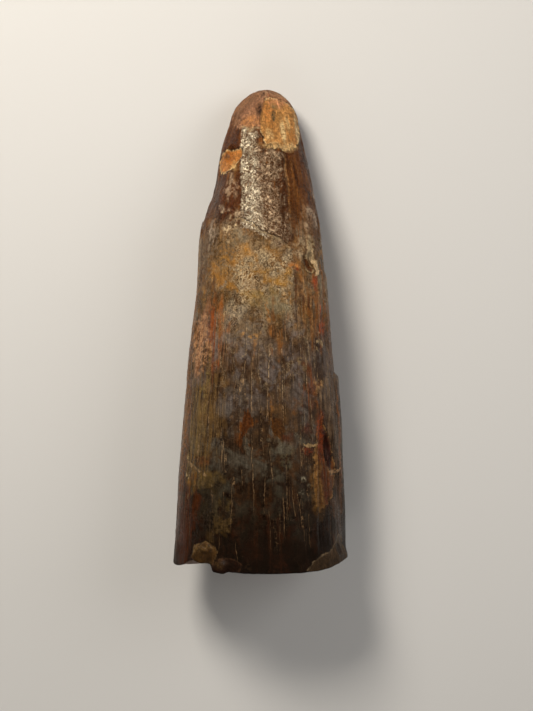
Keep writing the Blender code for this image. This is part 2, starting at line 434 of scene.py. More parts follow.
    def scar_share(self, skin: Skin) -> Array:
        """How strongly the three-cornered scar acts on each point."""
        share = np.clip((skin.distance - self.scar_top) / (self.scar_end - self.scar_top), 0.0, 1.0)
        left = self.scar_top_angle + (self.scar_left_angle - self.scar_top_angle) * np.sqrt(share)
        right = self.scar_top_angle + (self.scar_right_angle - self.scar_top_angle) * share
        turn = skin.turn_from(0.0)
        across = 1.0 - ramp(0.0, 1.0, (turn - left + self.scar_left_softness) / self.scar_left_softness)
        across *= ramp(0.0, 1.0, (turn - right + self.scar_right_softness) / self.scar_right_softness)
        top = ramp(self.scar_top, self.scar_top + 1.0, skin.distance)
        return across * top * (1.0 - ramp(self.scar_end - 1.0, self.scar_end, skin.distance))

    def natural_height(self, skin: Skin) -> Array:
        """The slow unevenness and the broad lengthwise ridges of a grown crown."""
        slow = noise_at(skin.place, self.unevenness_size)
        ridge = crown_places(skin.angle, self.ridges_round, skin.place[:, 1] / self.ridge_stretch)
        return self.unevenness * slow + self.ridge_height * noise_at(ridge, 1.0)

    def rim_rag(self, skin: Skin) -> Array:
        """The raggedness that every chip's rim shares."""
        return self.rim_raggedness * noise_at(skin.place, self.rim_ragged_size)

    def skin_at(self, pixel: Pair) -> Pair:
        """Finds the surface coordinates under a picture point of the shown side.

        Args:
            pixel: The picture point.

        Returns:
            The angle in degrees and the distance from the tip in millimetres.
        """
        height = self.view.sharp_height
        angle = 90.0
        distance = 0.0
        for _ in range(self.view.settle_steps):
            x, y = self.view.pixel_to_place(pixel, height)
            distance = min(max(self.shape.length / 2.0 - y - self.centre_y, 0.0), self.shape.length)
            at = np.array([distance])
            across = x + self.centre_x - float(read_curve(self.shape.outline, at, 2)[0])
            cosine = across / float(self.shape.half_width(at)[0])
            angle = math.degrees(math.acos(min(max(cosine, -self.steepest), self.steepest)))
            top = self.shape.point(np.array([angle]), at, np.array([1.0]))[0, 2]
            height = 0.5 * height + 0.5 * (top - self.floor)
        return angle, distance


class MarkKind(Enum):
    """How a mark lies: a soft stain, torn fibres, loose specks, a sharp chip or a glaze over chips.

    The values are a mark's softness and squareness.
    """

    STAIN = (0.5, 2.0)
    FIBRES = (0.35, 2.01)
    SPECKS = (0.45, 2.02)
    CHIP = (0.1, 2.8)
    GLAZE = (0.45, 2.03)


@dataclass(frozen=True)
class Mark:
    """A coloured mark on the shown side, by its middle and half size in picture points."""

    x: float
    y: float
    half_wide: float
    half_high: float
    colour: Colour
    strength: float = 0.8
    lean: float = 0.0


STAINS: dict[str, Mark] = {
    "tip_salmon": Mark(246, 107, 20, 17, (140, 98, 68), 0.9),
    "tip_crown": Mark(268, 95, 17, 5.5, (166, 120, 84), 0.9),
    "left_chip_foot": Mark(231.5, 174.5, 4.5, 3.4, (164, 134, 88)),
    "left_spall": Mark(214, 194, 5.5, 20, (84, 68, 58), 0.8, 0.9),
    "right_shoulder_stain": Mark(314, 224, 8, 26, (96, 60, 32), 0.75, -0.8),
    "right_shoulder_deep": Mark(311, 236, 9, 20, (92, 58, 30), 0.7, -0.5),
    "grey_corner": Mark(240, 240, 12, 6, (140, 126, 100), 0.6),
    "ochre_a": Mark(247, 254, 7, 6, (174, 118, 44), 0.85),
    "ochre_b": Mark(283, 279, 8, 7, (170, 118, 40), 0.9),
    "ochre_m": Mark(228, 248, 5, 5, (118, 98, 76), 0.7),
    "ochre_l": Mark(250, 282, 6, 4, (150, 130, 102), 0.7),
    "ochre_k": Mark(270, 288, 5, 4, (88, 62, 30), 0.6),
    "ochre_j": Mark(240, 245, 4, 5, (96, 66, 30), 0.7),
    "ochre_i": Mark(300, 292, 4, 8, (120, 74, 30), 0.7),
    "ochre_h": Mark(256, 270, 4, 4, (164, 114, 44), 0.75),
    "ochre_g": Mark(236, 290, 5, 5, (160, 108, 36)),
    "ochre_c": Mark(262, 296, 16, 8, (150, 118, 62), 0.7),
    "ochre_d": Mark(219, 276, 7, 9, (168, 112, 44), 0.85),
    "ochre_f": Mark(268, 275, 7, 6, (158, 116, 56), 0.7),
    "ochre_e": Mark(233, 262, 5, 8, (160, 108, 44)),
    "blue_fleck": Mark(222.5, 284.5, 3, 3, (140, 138, 126), 0.7),
    "grey_green": Mark(272, 305, 12, 10, (132, 122, 94), 0.65),
    "right_flank_olive": Mark(308, 316, 4, 16, (96, 72, 34), 0.6),
    "orange_streak": Mark(267.5, 309, 1.8, 12, (164, 108, 50), 0.85),
    "left_orange_red": Mark(208, 328, 3, 10, (128, 56, 22), 0.7),
    "right_orange_glow": Mark(316, 388, 3.4, 15, (174, 104, 46), 0.95, -0.1),
    "flake_top": Mark(337, 380, 4, 2.4, (142, 118, 92)),
    "red_above_chip": Mark(311, 434, 5, 5, (88, 34, 16)),
    "amber_b": Mark(241, 444, 2.4, 9, (84, 44, 18), 0.8, 0.3),
    "amber_c": Mark(278, 441, 6, 8, (96, 56, 20), 0.7),
    "amber_e": Mark(286, 436, 2, 7, (86, 40, 16)),
    "amber_f": Mark(260.5, 452, 2.4, 7, (82, 46, 18)),
    "amber_g": Mark(287, 470, 5, 5, (72, 44, 18), 0.85),
    "amber_h": Mark(296, 411, 3.4, 7, (110, 66, 26)),
    "brown_low_a": Mark(254, 486, 5, 14, (40, 22, 10), 0.7),
    "grey_a": Mark(276, 447, 5.6, 5.6, (108, 102, 84)),
    "grey_b": Mark(296, 440, 5, 6, (102, 95, 78)),
    "grey_c": Mark(238, 461, 10, 9, (94, 87, 74)),
    "grey_e": Mark(225, 489, 5, 10, (82, 77, 62), 0.8, -0.5),
    "grey_f": Mark(271, 507, 5, 6, (56, 52, 42), 0.7),
    "grey_g": Mark(272, 478, 4, 5, (78, 74, 60), 0.6),
    "grey_h": Mark(252, 400, 9, 14, (100, 88, 78), 0.6),
    "grey_i": Mark(234, 388, 9, 11, (106, 94, 82), 0.65),
    "grey_j": Mark(263, 352, 16, 16, (104, 88, 74), 0.45),
    "grey_k": Mark(296, 392, 9, 14, (98, 86, 76), 0.6),
    "grey_l": Mark(242, 330, 14, 7, (114, 98, 78), 0.55),
    "left_tan_low": Mark(204, 482, 12, 9, (120, 94, 50), 0.85),
    "olive_patch": Mark(210, 502, 12, 20, (52, 42, 26), 0.95),
    "tan_low_a": Mark(229, 503, 6, 9, (100, 78, 40), 0.95, -0.5),
    "tan_low_b": Mark(218, 528, 8, 8, (80, 58, 27), 0.95),
    "grey_low": Mark(292, 530, 4, 8, (48, 46, 38), 0.75),
    "grey_low_b": Mark(318, 519, 7, 8, (50, 44, 34), 0.3),
    "left_lobe": Mark(183, 557, 8, 8, (58, 34, 18)),
}
FIBRES: dict[str, Mark] = {
    "brown_shoulder": Mark(233, 138, 10, 12, (74, 36, 16), 0.85, 0.4),
    "red_left": Mark(229, 198, 11, 25, (70, 30, 9), 0.9, 0.35),
    "amber_right": Mark(293, 190, 13, 44, (84, 46, 14), 0.8, -0.35),
    "amber_right_dark": Mark(284, 196, 4.5, 36, (58, 28, 8), 0.8, -0.2),
    "amber_right_glow": Mark(297, 176, 4, 26, (112, 66, 24), 0.7, -0.5),
    "right_haze": Mark(314, 178, 5.5, 34, (112, 88, 66), 0.75, -1.2),
    "left_shoulder_brown": Mark(205, 226, 7, 26, (70, 38, 20), 0.85, 0.6),
    "left_shoulder_low": Mark(203, 262, 6, 20, (84, 54, 30), 0.7, 0.3),
    "right_shoulder_brown": Mark(315, 226, 5, 22, (92, 54, 24), 0.75, -1),
    "amber_low": Mark(301, 216, 6, 16, (112, 64, 18), 0.9, -0.3),
    "right_brown": Mark(303, 262, 10, 22, (112, 72, 34), 0.6),
    "bracket_red_foot": Mark(314, 286, 4.5, 9, (150, 66, 24), 1),
    "right_flank_streaks": Mark(316, 308, 11, 30, (136, 82, 32), 0.95),
    "right_flank_red": Mark(315, 287, 2.4, 9, (156, 66, 26), 0.95),
    "right_flank_dark_b": Mark(318, 314, 2, 22, (82, 40, 18)),
    "right_flank_dark": Mark(309, 300, 2.6, 30, (70, 34, 14), 0.9),
    "right_flank_red_low": Mark(322, 323, 2.8, 12, (186, 82, 38), 1),
    "amber_streak_right": Mark(299, 304, 4.5, 26, (66, 32, 12)),
    "orange_streak_foot": Mark(277, 330, 6, 10, (128, 80, 36), 0.85),
    "left_orange_top": Mark(219, 310, 8, 14, (146, 86, 38), 0.85, 0.6),
    "left_brown_top": Mark(212, 296, 9, 10, (88, 52, 24), 0.7),
    "left_orange_ground": Mark(204, 342, 14, 28, (140, 92, 58), 0.95, 0.2),
    "left_orange_deep": Mark(212, 336, 4.5, 20, (142, 70, 26), 0.9, 0.3),
    "left_orange_deep_low": Mark(214, 352, 3, 14, (120, 56, 22)),
    "brown_branch": Mark(279, 345, 2.4, 14, (126, 78, 36)),
    "left_olive": Mark(198, 420, 15, 54, (112, 84, 46), 0.9),
    "left_olive_pale": Mark(194, 432, 7, 40, (128, 104, 64), 0.7),
    "right_grey_band": Mark(323, 354, 8, 22, (84, 66, 54), 0.85, -0.5),
    "right_band_dark": Mark(318, 356, 3, 24, (44, 26, 16), 0.7, -0.4),
    "right_orange_patch": Mark(311, 392, 6.5, 28, (112, 58, 22), 0.9, -0.2),
    "flake_ground": Mark(331, 420, 9, 46, (98, 74, 54), 0.9),
    "flake_pale": Mark(329, 400, 3.4, 24, (146, 118, 88)),
    "scar_grey": Mark(339, 446, 3.6, 22, (112, 90, 74), 0.9, -0.5),
    "scar_pink_foot": Mark(341, 512, 7, 42, (104, 74, 54), 0.95, -0.6),
    "amber_a": Mark(246, 427, 4.6, 12, (112, 62, 20), 1, 0.3),
    "left_gold": Mark(191, 480, 4.4, 15, (146, 102, 42), 0.95),
    "left_red_band": Mark(184, 520, 6, 44, (90, 42, 13), 0.9),
    "left_gold_low": Mark(194, 506, 4, 16, (84, 40, 14), 0.8, 0.3),
    "red_low": Mark(250, 548, 12, 14, (34, 12, 5), 0.6),
}
SPECKS: dict[str, Mark] = {
    "tip_crown_pale": Mark(262, 94, 5, 2, (188, 146, 108)),
    "tip_crown_red": Mark(272, 96.5, 6, 2.2, (136, 80, 52)),
    "fleck_a": Mark(231, 182, 6, 5, (180, 150, 118), 0.7),
    "fleck_b": Mark(228, 191, 7, 3, (172, 142, 110), 0.7),
    "fleck_c": Mark(223, 206, 4, 4, (190, 162, 130), 0.9),
    "fleck_d": Mark(235, 213, 4, 4, (192, 166, 132), 0.9),
    "fleck_e": Mark(230, 226, 8, 5.5, (204, 178, 138), 0.95),
    "fleck_f": Mark(213, 236, 4, 14, (158, 136, 114), 0.85),
    "haze_flecks": Mark(311, 218, 6, 18, (170, 140, 108), 0.3, -0.8),
    "fleck_g": Mark(304, 210, 4, 12, (150, 118, 84), 0.45),
    "fleck_h": Mark(301, 246, 5, 9, (172, 146, 110), 0.85),
    "ochre_left": Mark(226, 262, 15, 22, (140, 100, 48), 0.7),
    "pale_middle": Mark(258, 256, 18, 14, (150, 126, 92), 0.5),
    "grey_pocket": Mark(211, 246, 8, 16, (108, 90, 70), 0.75),
    "bracket_pale_top": Mark(310, 251, 4, 8, (164, 142, 102), 0.9),
    "right_flank_pale": Mark(321, 333, 3, 4, (176, 126, 84)),
    "left_orange_pink": Mark(199, 322, 5, 10, (176, 128, 88), 0.85),
    "left_orange_pale": Mark(199, 350, 8, 20, (186, 138, 96), 0.85),
    "ochre_star": Mark(251.5, 337, 4.6, 2.8, (176, 130, 76), 1),
    "left_yellow": Mark(206, 383, 5, 6, (142, 118, 68), 0.85),
    "right_chip_low": Mark(306, 366, 4, 6, (130, 106, 72)),
    "tan_spot_a": Mark(318, 384, 4, 7, (172, 132, 86), 0.95),
    "pale_star": Mark(306, 482.5, 3.4, 2.2, (196, 184, 152), 1),
    "grey_d": Mark(286, 458, 9, 7, (92, 84, 62), 0.7),
    "scratch_pale": Mark(189, 469, 3.2, 2.4, (196, 164, 112), 0.9),
}
GLAZES: dict[str, Mark] = {
    "amber_line_c": Mark(285, 170, 0.8, 16, (140, 110, 76), 0.7, -0.4),
    "amber_line_b": Mark(292, 176, 0.7, 22, (132, 84, 38), 0.8, -0.6),
    "amber_line_a": Mark(288, 190, 0.8, 30, (150, 104, 58), 0.8, -0.4),
    "right_facet_fringe": Mark(280, 146, 17, 3.4, (200, 162, 108), 0.9),
    "right_facet_warm": Mark(270, 112, 7, 14, (190, 120, 58)),
    "right_facet_top": Mark(281, 101.5, 10, 4, (192, 132, 92), 0.9),
    "right_facet_brown": Mark(271, 130, 6, 10, (150, 98, 44), 0.6),
    "right_facet_pale": Mark(282.5, 129, 2.2, 13, (216, 186, 132), 0.95),
    "right_facet_deep": Mark(291, 136, 3.4, 7, (168, 106, 46), 0.7),
    "right_facet_olive": Mark(279, 117, 5, 7, (158, 112, 58), 0.7),
    "right_facet_pale_c": Mark(269, 134, 4, 5, (206, 168, 112), 0.75),
    "right_facet_pale_b": Mark(287, 124, 1.6, 8, (208, 172, 116)),
    "right_facet_rim": Mark(295.5, 129, 1.2, 11, (222, 198, 150), 0.9, -0.6),
    "facet_grey_spot": Mark(275.5, 104, 3.4, 2.6, (124, 108, 70), 0.9),
    "facet_dark_streak": Mark(274.5, 114, 1.8, 6, (72, 64, 44), 1, -0.6),
    "left_facet_line": Mark(252, 103, 1.4, 7, (116, 74, 50), 0.6, 0.4),
    "left_facet_shade": Mark(243, 108, 3.5, 7, (112, 76, 54), 0.7, -0.4),
    "left_facet_lip": Mark(249.5, 127.2, 8.6, 1.2, (212, 184, 138), 0.95),
    "left_facet_foot": Mark(249.5, 120.5, 8.6, 6, (184, 124, 74), 0.95),
    "tip_dark_pit": Mark(258.5, 109, 3.6, 5.6, (46, 28, 20), 1, 0.3),
    "tip_dark_line": Mark(263, 102, 1.5, 9, (96, 58, 38), 0.7, 0.6),
    "tip_nick": Mark(261, 93, 2.5, 2, (64, 34, 24), 0.9),
    "left_chip_deep": Mark(226, 157, 4, 5, (160, 92, 38), 0.7),
    "left_chip_pale": Mark(233, 166, 3.2, 5, (206, 166, 106), 0.7, 0.8),
    "left_chip_spot": Mark(224, 156, 1.3, 1.3, (70, 62, 58), 0.9),
    "left_shoulder_fleck": Mark(211, 232, 2, 6, (166, 142, 116), 0.7),
    "left_shoulder_fleck_b": Mark(209, 246, 1.8, 5, (156, 132, 106), 0.7),
    "spot_e": Mark(234, 196, 2, 3, (160, 130, 100)),
    "spot_d": Mark(236, 213, 2.6, 3, (180, 154, 122)),
    "spot_c": Mark(222, 206, 2.6, 2.6, (176, 150, 122)),
    "spot_b": Mark(226, 190, 4, 1.8, (168, 140, 112)),
    "spot_a": Mark(231, 178, 2.6, 4, (178, 150, 120)),
    "bracket_lump": Mark(301, 257, 3.4, 5, (176, 152, 118), 0.8, 0.6),
    "blot_f": Mark(308, 238, 2.2, 3, (186, 160, 122), 0.85),
    "blot_e": Mark(314, 222, 1.8, 6, (188, 164, 138), 0.85),
    "blot_d": Mark(302, 240, 3.4, 4.4, (168, 144, 110), 0.85),
    "blot_c": Mark(305.5, 226, 2, 3.4, (176, 148, 116), 0.85),
    "blot_b": Mark(309, 211, 2.8, 4, (184, 158, 130), 0.85),
    "blot_a": Mark(312.5, 196, 2.2, 5, (176, 150, 126), 0.85),
    "orange_spot": Mark(293, 266.5, 6, 3.2, (190, 120, 58), 0.9),
    "orange_spot_red": Mark(297, 269, 2.2, 1.8, (128, 50, 18), 0.9),
    "right_flank_gold_a": Mark(304, 302, 0.7, 24, (184, 138, 84)),
    "right_flank_gold_b": Mark(310, 310, 0.7, 24, (190, 140, 84), 0.8, -0.4),
    "right_flank_gold_c": Mark(317, 302, 0.7, 20, (192, 138, 84), 0.85, -0.8),
    "right_flank_gold_d": Mark(298.5, 306, 0.7, 22, (166, 126, 80), 0.75),
    "right_flank_ember": Mark(322.5, 325, 2.6, 9, (190, 84, 40)),
    "right_flank_ember_top": Mark(313.5, 285, 2.2, 6, (158, 68, 28), 0.7),
    "ochre_tail": Mark(253, 351, 1.6, 14, (142, 100, 60), 0.7),
    "left_red_line": Mark(187, 425, 2.2, 44, (112, 66, 44), 0.6, 0.5),
    "left_edge_warm": Mark(184, 420, 6, 70, (150, 98, 44), 0.7, 0.4),
    "left_edge_low": Mark(178, 500, 5, 50, (122, 70, 28), 0.7, 0.3),
    "left_edge_high": Mark(192, 320, 5, 50, (132, 84, 50), 0.55, 0.4),
    "flake_orange_line": Mark(338.5, 430, 1.5, 50, (142, 84, 34), 0.85),
    "scar_red": Mark(322.5, 436, 4.6, 22, (160, 68, 24), 1, 0.2),
    "scar_tan": Mark(320, 488, 8, 26, (142, 98, 44), 1),
    "scar_tan_pale": Mark(317.5, 476, 2.4, 28, (176, 126, 64), 0.95),
    "scar_red_heart": Mark(329, 486, 3.8, 18, (112, 48, 20), 0.9),
    "scar_line_a": Mark(323.5, 484, 0.7, 18, (178, 132, 76), 0.7),
    "scar_line_b": Mark(326.5, 478, 0.6, 16, (70, 30, 14)),
    "right_edge_warm": Mark(344, 470, 4.5, 60, (140, 92, 62), 0.6, -0.4),
    "right_edge_high": Mark(329, 340, 5, 50, (116, 74, 44), 0.5, -0.4),
    "pale_chip_red": Mark(308, 451, 5, 5, (118, 44, 14), 0.9),
    "amber_d": Mark(269, 409, 1.6, 14, (132, 84, 34), 0.95),
    "scratch_red": Mark(202, 460, 7, 5, (112, 62, 28), 0.6),
    "left_red_glow": Mark(181, 548, 4, 16, (84, 38, 16), 0.6),
    "olive_line": Mark(208, 494, 6, 8, (34, 26, 15), 0.7),
    "olive_arc": Mark(214, 512, 2.2, 9, (78, 64, 42), 0.7, 0.6),
    # Painted light on the raised crumb: its upper left and its top and left edges carry painted highlight,
    # its lower right painted shade.
    "crumb_painted_highlight": Mark(200, 549, 6, 4, (136, 104, 62), 0.95),
    "crumb_painted_shade": Mark(207, 557.5, 5, 3.4, (58, 36, 16), 0.9),
    "crumb_pit_a": Mark(203.5, 554, 1.6, 1.8, (40, 24, 12), 1),
    "crumb_pit_b": Mark(209.5, 550, 1.4, 1.4, (52, 32, 16), 0.95),
    "crumb_pit_c": Mark(199, 558, 1.8, 1.6, (48, 30, 15), 0.95),
    "crumb_painted_rim_light": Mark(210, 545.5, 3.2, 1.6, (150, 120, 76), 0.9),
    "crumb_painted_rim_light_left": Mark(196.5, 551, 1.6, 2.6, (150, 118, 74)),
    "knob_tan": Mark(220, 563, 3.6, 3, (96, 70, 38)),
    "knob_pit": Mark(229, 566, 3, 3, (24, 10, 5)),
}
MARKS: dict[MarkKind, dict[str, Mark]] = {
    MarkKind.STAIN: STAINS,
    MarkKind.FIBRES: FIBRES,
    MarkKind.SPECKS: SPECKS,
    MarkKind.GLAZE: GLAZES,
}


@dataclass(frozen=True)
class Patch:
    """A chip, facet or lump with its own outline, by the picture points of its corners."""

    outline: Outline
    colour: Colour
    # The rim colour is laid as a pale lip inside the border, partly the edge's own colour and partly painted
    # edge highlight; a rim also brings a painted shade line outside it.
    rim: Colour | None = None
    depth: float = 0.03


PATCHES: dict[str, Patch] = {
    "right_facet": Patch(
        ((261, 100), (271, 97), (281, 98.5), (289, 103.5), (293.5, 110), (296, 119), (297.5, 131),
         (296, 144), (293, 147.5), (291, 143.5), (287.5, 149.5), (284, 144.5), (281.5, 150), (278, 144),
         (274, 148.5), (270.5, 142.5), (266.5, 145), (262, 135), (257.5, 124), (258.5, 111)),
        (178, 126, 70), (208, 176, 124)),
    "left_facet": Patch(
        ((236, 127.5), (238, 118), (243, 108), (250, 99), (258, 92), (262, 97), (260, 108), (257.5, 121),
         (258.5, 128), (254, 124.5), (250, 128.5), (245, 126.5), (241, 128.5)),
        (150, 106, 76), None, 0.01),
    "left_chip": Patch(
        ((225, 150.5), (232, 149), (241, 148.5), (240.5, 154), (237.5, 161), (234.5, 166.5), (229, 169),
         (225, 171.5), (219.5, 172), (219, 163), (221.5, 156)),
        (182, 118, 58), (210, 174, 120)),
    "bracket_hole": Patch(
        ((303, 259), (307, 256.5), (311, 260), (313, 268), (309.5, 273), (305, 270)),
        (86, 48, 20), (160, 132, 92)),
    "bracket_stroke": Patch(
        ((307.5, 244), (310.5, 243), (312, 249), (313, 255), (316, 260), (317.5, 268), (315.8, 275),
         (313, 276.5), (314.3, 271), (314, 264), (311, 258.5), (307, 255.5), (306, 249)),
        (184, 156, 116), None, 0),
    "scar": Patch(
        ((321, 414), (324, 421), (328, 428), (332, 441), (335, 456), (338, 470), (337, 484), (335, 497),
         (330, 504), (323, 508), (317, 505), (314.5, 491), (314, 470), (315, 450), (317, 434), (319, 424)),
        (112, 64, 28), (164, 122, 74)),
    "scar_lens": Patch(
        ((325, 429), (329, 433), (332.5, 444), (334.5, 457), (334, 468), (331, 466), (329, 452),
         (326.5, 441)),
        (52, 17, 11), (96, 54, 34)),
    "right_chip": Patch(
        ((316, 341), (320, 338), (322.5, 343), (321, 350), (317.5, 352), (316, 347)),
        (156, 130, 94)),
    "right_chip_hole": Patch(
        ((318, 345), (320, 344.5), (320.3, 348), (318.4, 349)),
        (54, 34, 20)),
    "corner_facet": Patch(
        ((306, 572), (313, 562), (320, 556), (330, 552), (338, 544), (342, 534), (350, 538), (350, 560),
         (341, 572), (325, 580), (306, 580)),
        (82, 62, 42), (150, 126, 96)),
    "almond": Patch(
        ((338, 549), (341, 541), (343.5, 546), (342.5, 554), (339.5, 556)),
        (44, 30, 20), (112, 92, 70)),
    "amber_wedge": Patch(
        ((243, 411), (250, 413), (251.5, 423), (247.5, 429), (243.5, 436), (240.5, 446), (238.5, 444),
         (241, 432), (242, 421)),
        (84, 44, 16), None, 0),
    "amber_heart": Patch(
        ((271, 420), (276, 418), (284, 422), (285, 431), (281, 439), (275, 436), (271.5, 430)),
        (80, 47, 18), None, 0),
    "tan_blot": Patch(
        ((211, 516), (215, 512.5), (218, 518), (223, 520.5), (229, 516.5), (231.5, 523), (226.5, 526),
         (229, 533), (221, 531), (216, 535), (214, 527)),
        (82, 62, 34), None, 0),
    "olive_swirl": Patch(
        ((201, 492), (208, 489.5), (215, 495), (218.5, 505), (216, 514), (211.5, 515.5), (215, 506),
         (212, 498), (206, 494)),
        (74, 62, 42), None, 0),
    "crumb": Patch(
        ((194, 546), (199, 543.5), (206, 541.5), (213, 545), (216.5, 553), (213.5, 560), (208, 564),
         (198, 564), (194, 556)),
        (88, 60, 28), (124, 96, 60), 0),
    "knob": Patch(
        ((213, 563), (219, 559), (228, 558.5), (236, 561), (241, 567), (236, 573), (230, 579), (218, 579),
         (212, 571)),
        (34, 10, 4), (82, 54, 36), 0),
    "scratch": Patch(
        ((185.5, 459), (190, 461.5), (197, 468), (206, 476), (204, 476.2), (195, 469), (187.5, 463)),
        (140, 112, 78), None, 0.02),
    "pale_chip": Patch(
        ((303, 444.5), (307, 443), (312, 444.2), (317, 442), (314, 446), (309, 446.8), (304, 446.5)),
        (186, 152, 104), None, 0.02),
    "scar_step": Patch(
        ((333, 470), (338, 471.3), (344, 467.5), (343.5, 470), (338, 473.6), (334, 472.8)),
        (176, 136, 96), None, 0.02),
}

# Outlines of the frost patch, whose pale crests are partly frosting and partly painted highlight, and of its
# core, where the painted highlight is brightest.
FROST_GLINT_OUTLINE: Outline = (
    (241, 127), (248, 126), (257, 129), (260, 139), (264, 148), (278, 151), (284, 157), (283, 172),
    (285, 192), (288, 212), (291, 230), (287, 248), (278, 245), (267, 239), (257, 233), (248, 227),
    (240, 230), (240, 200), (240, 175), (240, 150),
)
GLINT_CORE_OUTLINE: Outline = (
    (236, 122), (256, 122), (256, 150), (257, 175), (259, 200), (263, 225), (270, 246), (236, 246),
)


@dataclass(frozen=True)
class HiddenMark:
    """A coloured mark on a side that the picture doesn't show, by angle and distance."""

    angle: float
    distance: float
    half_angle: float
    half_along: float
    colour: Colour
    kind: MarkKind
    strength: float = 0.85
    lean: float = 0.0


HIDDEN_MARKS: dict[str, HiddenMark] = {
    "under_facet": HiddenMark(256, 1.8, 46, 1.9, (166, 120, 72), MarkKind.CHIP),
    "under_tip_chip": HiddenMark(318, 6.2, 13, 1.2, (172, 112, 58), MarkKind.CHIP),
    "under_spall": HiddenMark(236, 20.5, 21, 3.3, (102, 76, 52), MarkKind.CHIP),
    "under_chip": HiddenMark(304, 30.5, 14, 1.9, (94, 58, 32), MarkKind.CHIP),
    "under_base_chip": HiddenMark(222, 36.4, 14, 1.5, (92, 70, 44), MarkKind.CHIP),
    "under_amber": HiddenMark(285, 9.5, 34, 5.5, (92, 48, 15), MarkKind.FIBRES),
    "under_frost": HiddenMark(232, 8, 26, 4.2, (148, 128, 100), MarkKind.SPECKS),
    "under_orange": HiddenMark(325, 22, 16, 5, (132, 78, 40), MarkKind.FIBRES),
    "under_grey": HiddenMark(262, 26, 30, 5, (94, 86, 74), MarkKind.STAIN),
    "under_olive": HiddenMark(210, 28, 18, 6.5, (96, 72, 40), MarkKind.FIBRES),
}


@dataclass
class PaintLayer:
    """One see-through layer of colour on a mesh's points, already weighed by its cover."""

    weighed: Array
    cover: Array

    @classmethod
    def clear(cls, count: int) -> "PaintLayer":
        """Makes a layer that hides nothing."""
        return cls(np.zeros((count, 3)), np.zeros(count))

    def lay(self, colour: Colour, share: Array) -> None:
        """Lays a display colour over the layer, as much of it as each point's share."""
        self.weighed = self.weighed * (1.0 - share)[:, None] + np.array(linear(colour)[:3]) * share[:, None]
        self.cover = self.cover * (1.0 - share) + share

    def rows(self) -> Array:
        """The layer as rows of red, green, blue and cover."""
        return np.concatenate([self.weighed, self.cover[:, None]], axis=1)


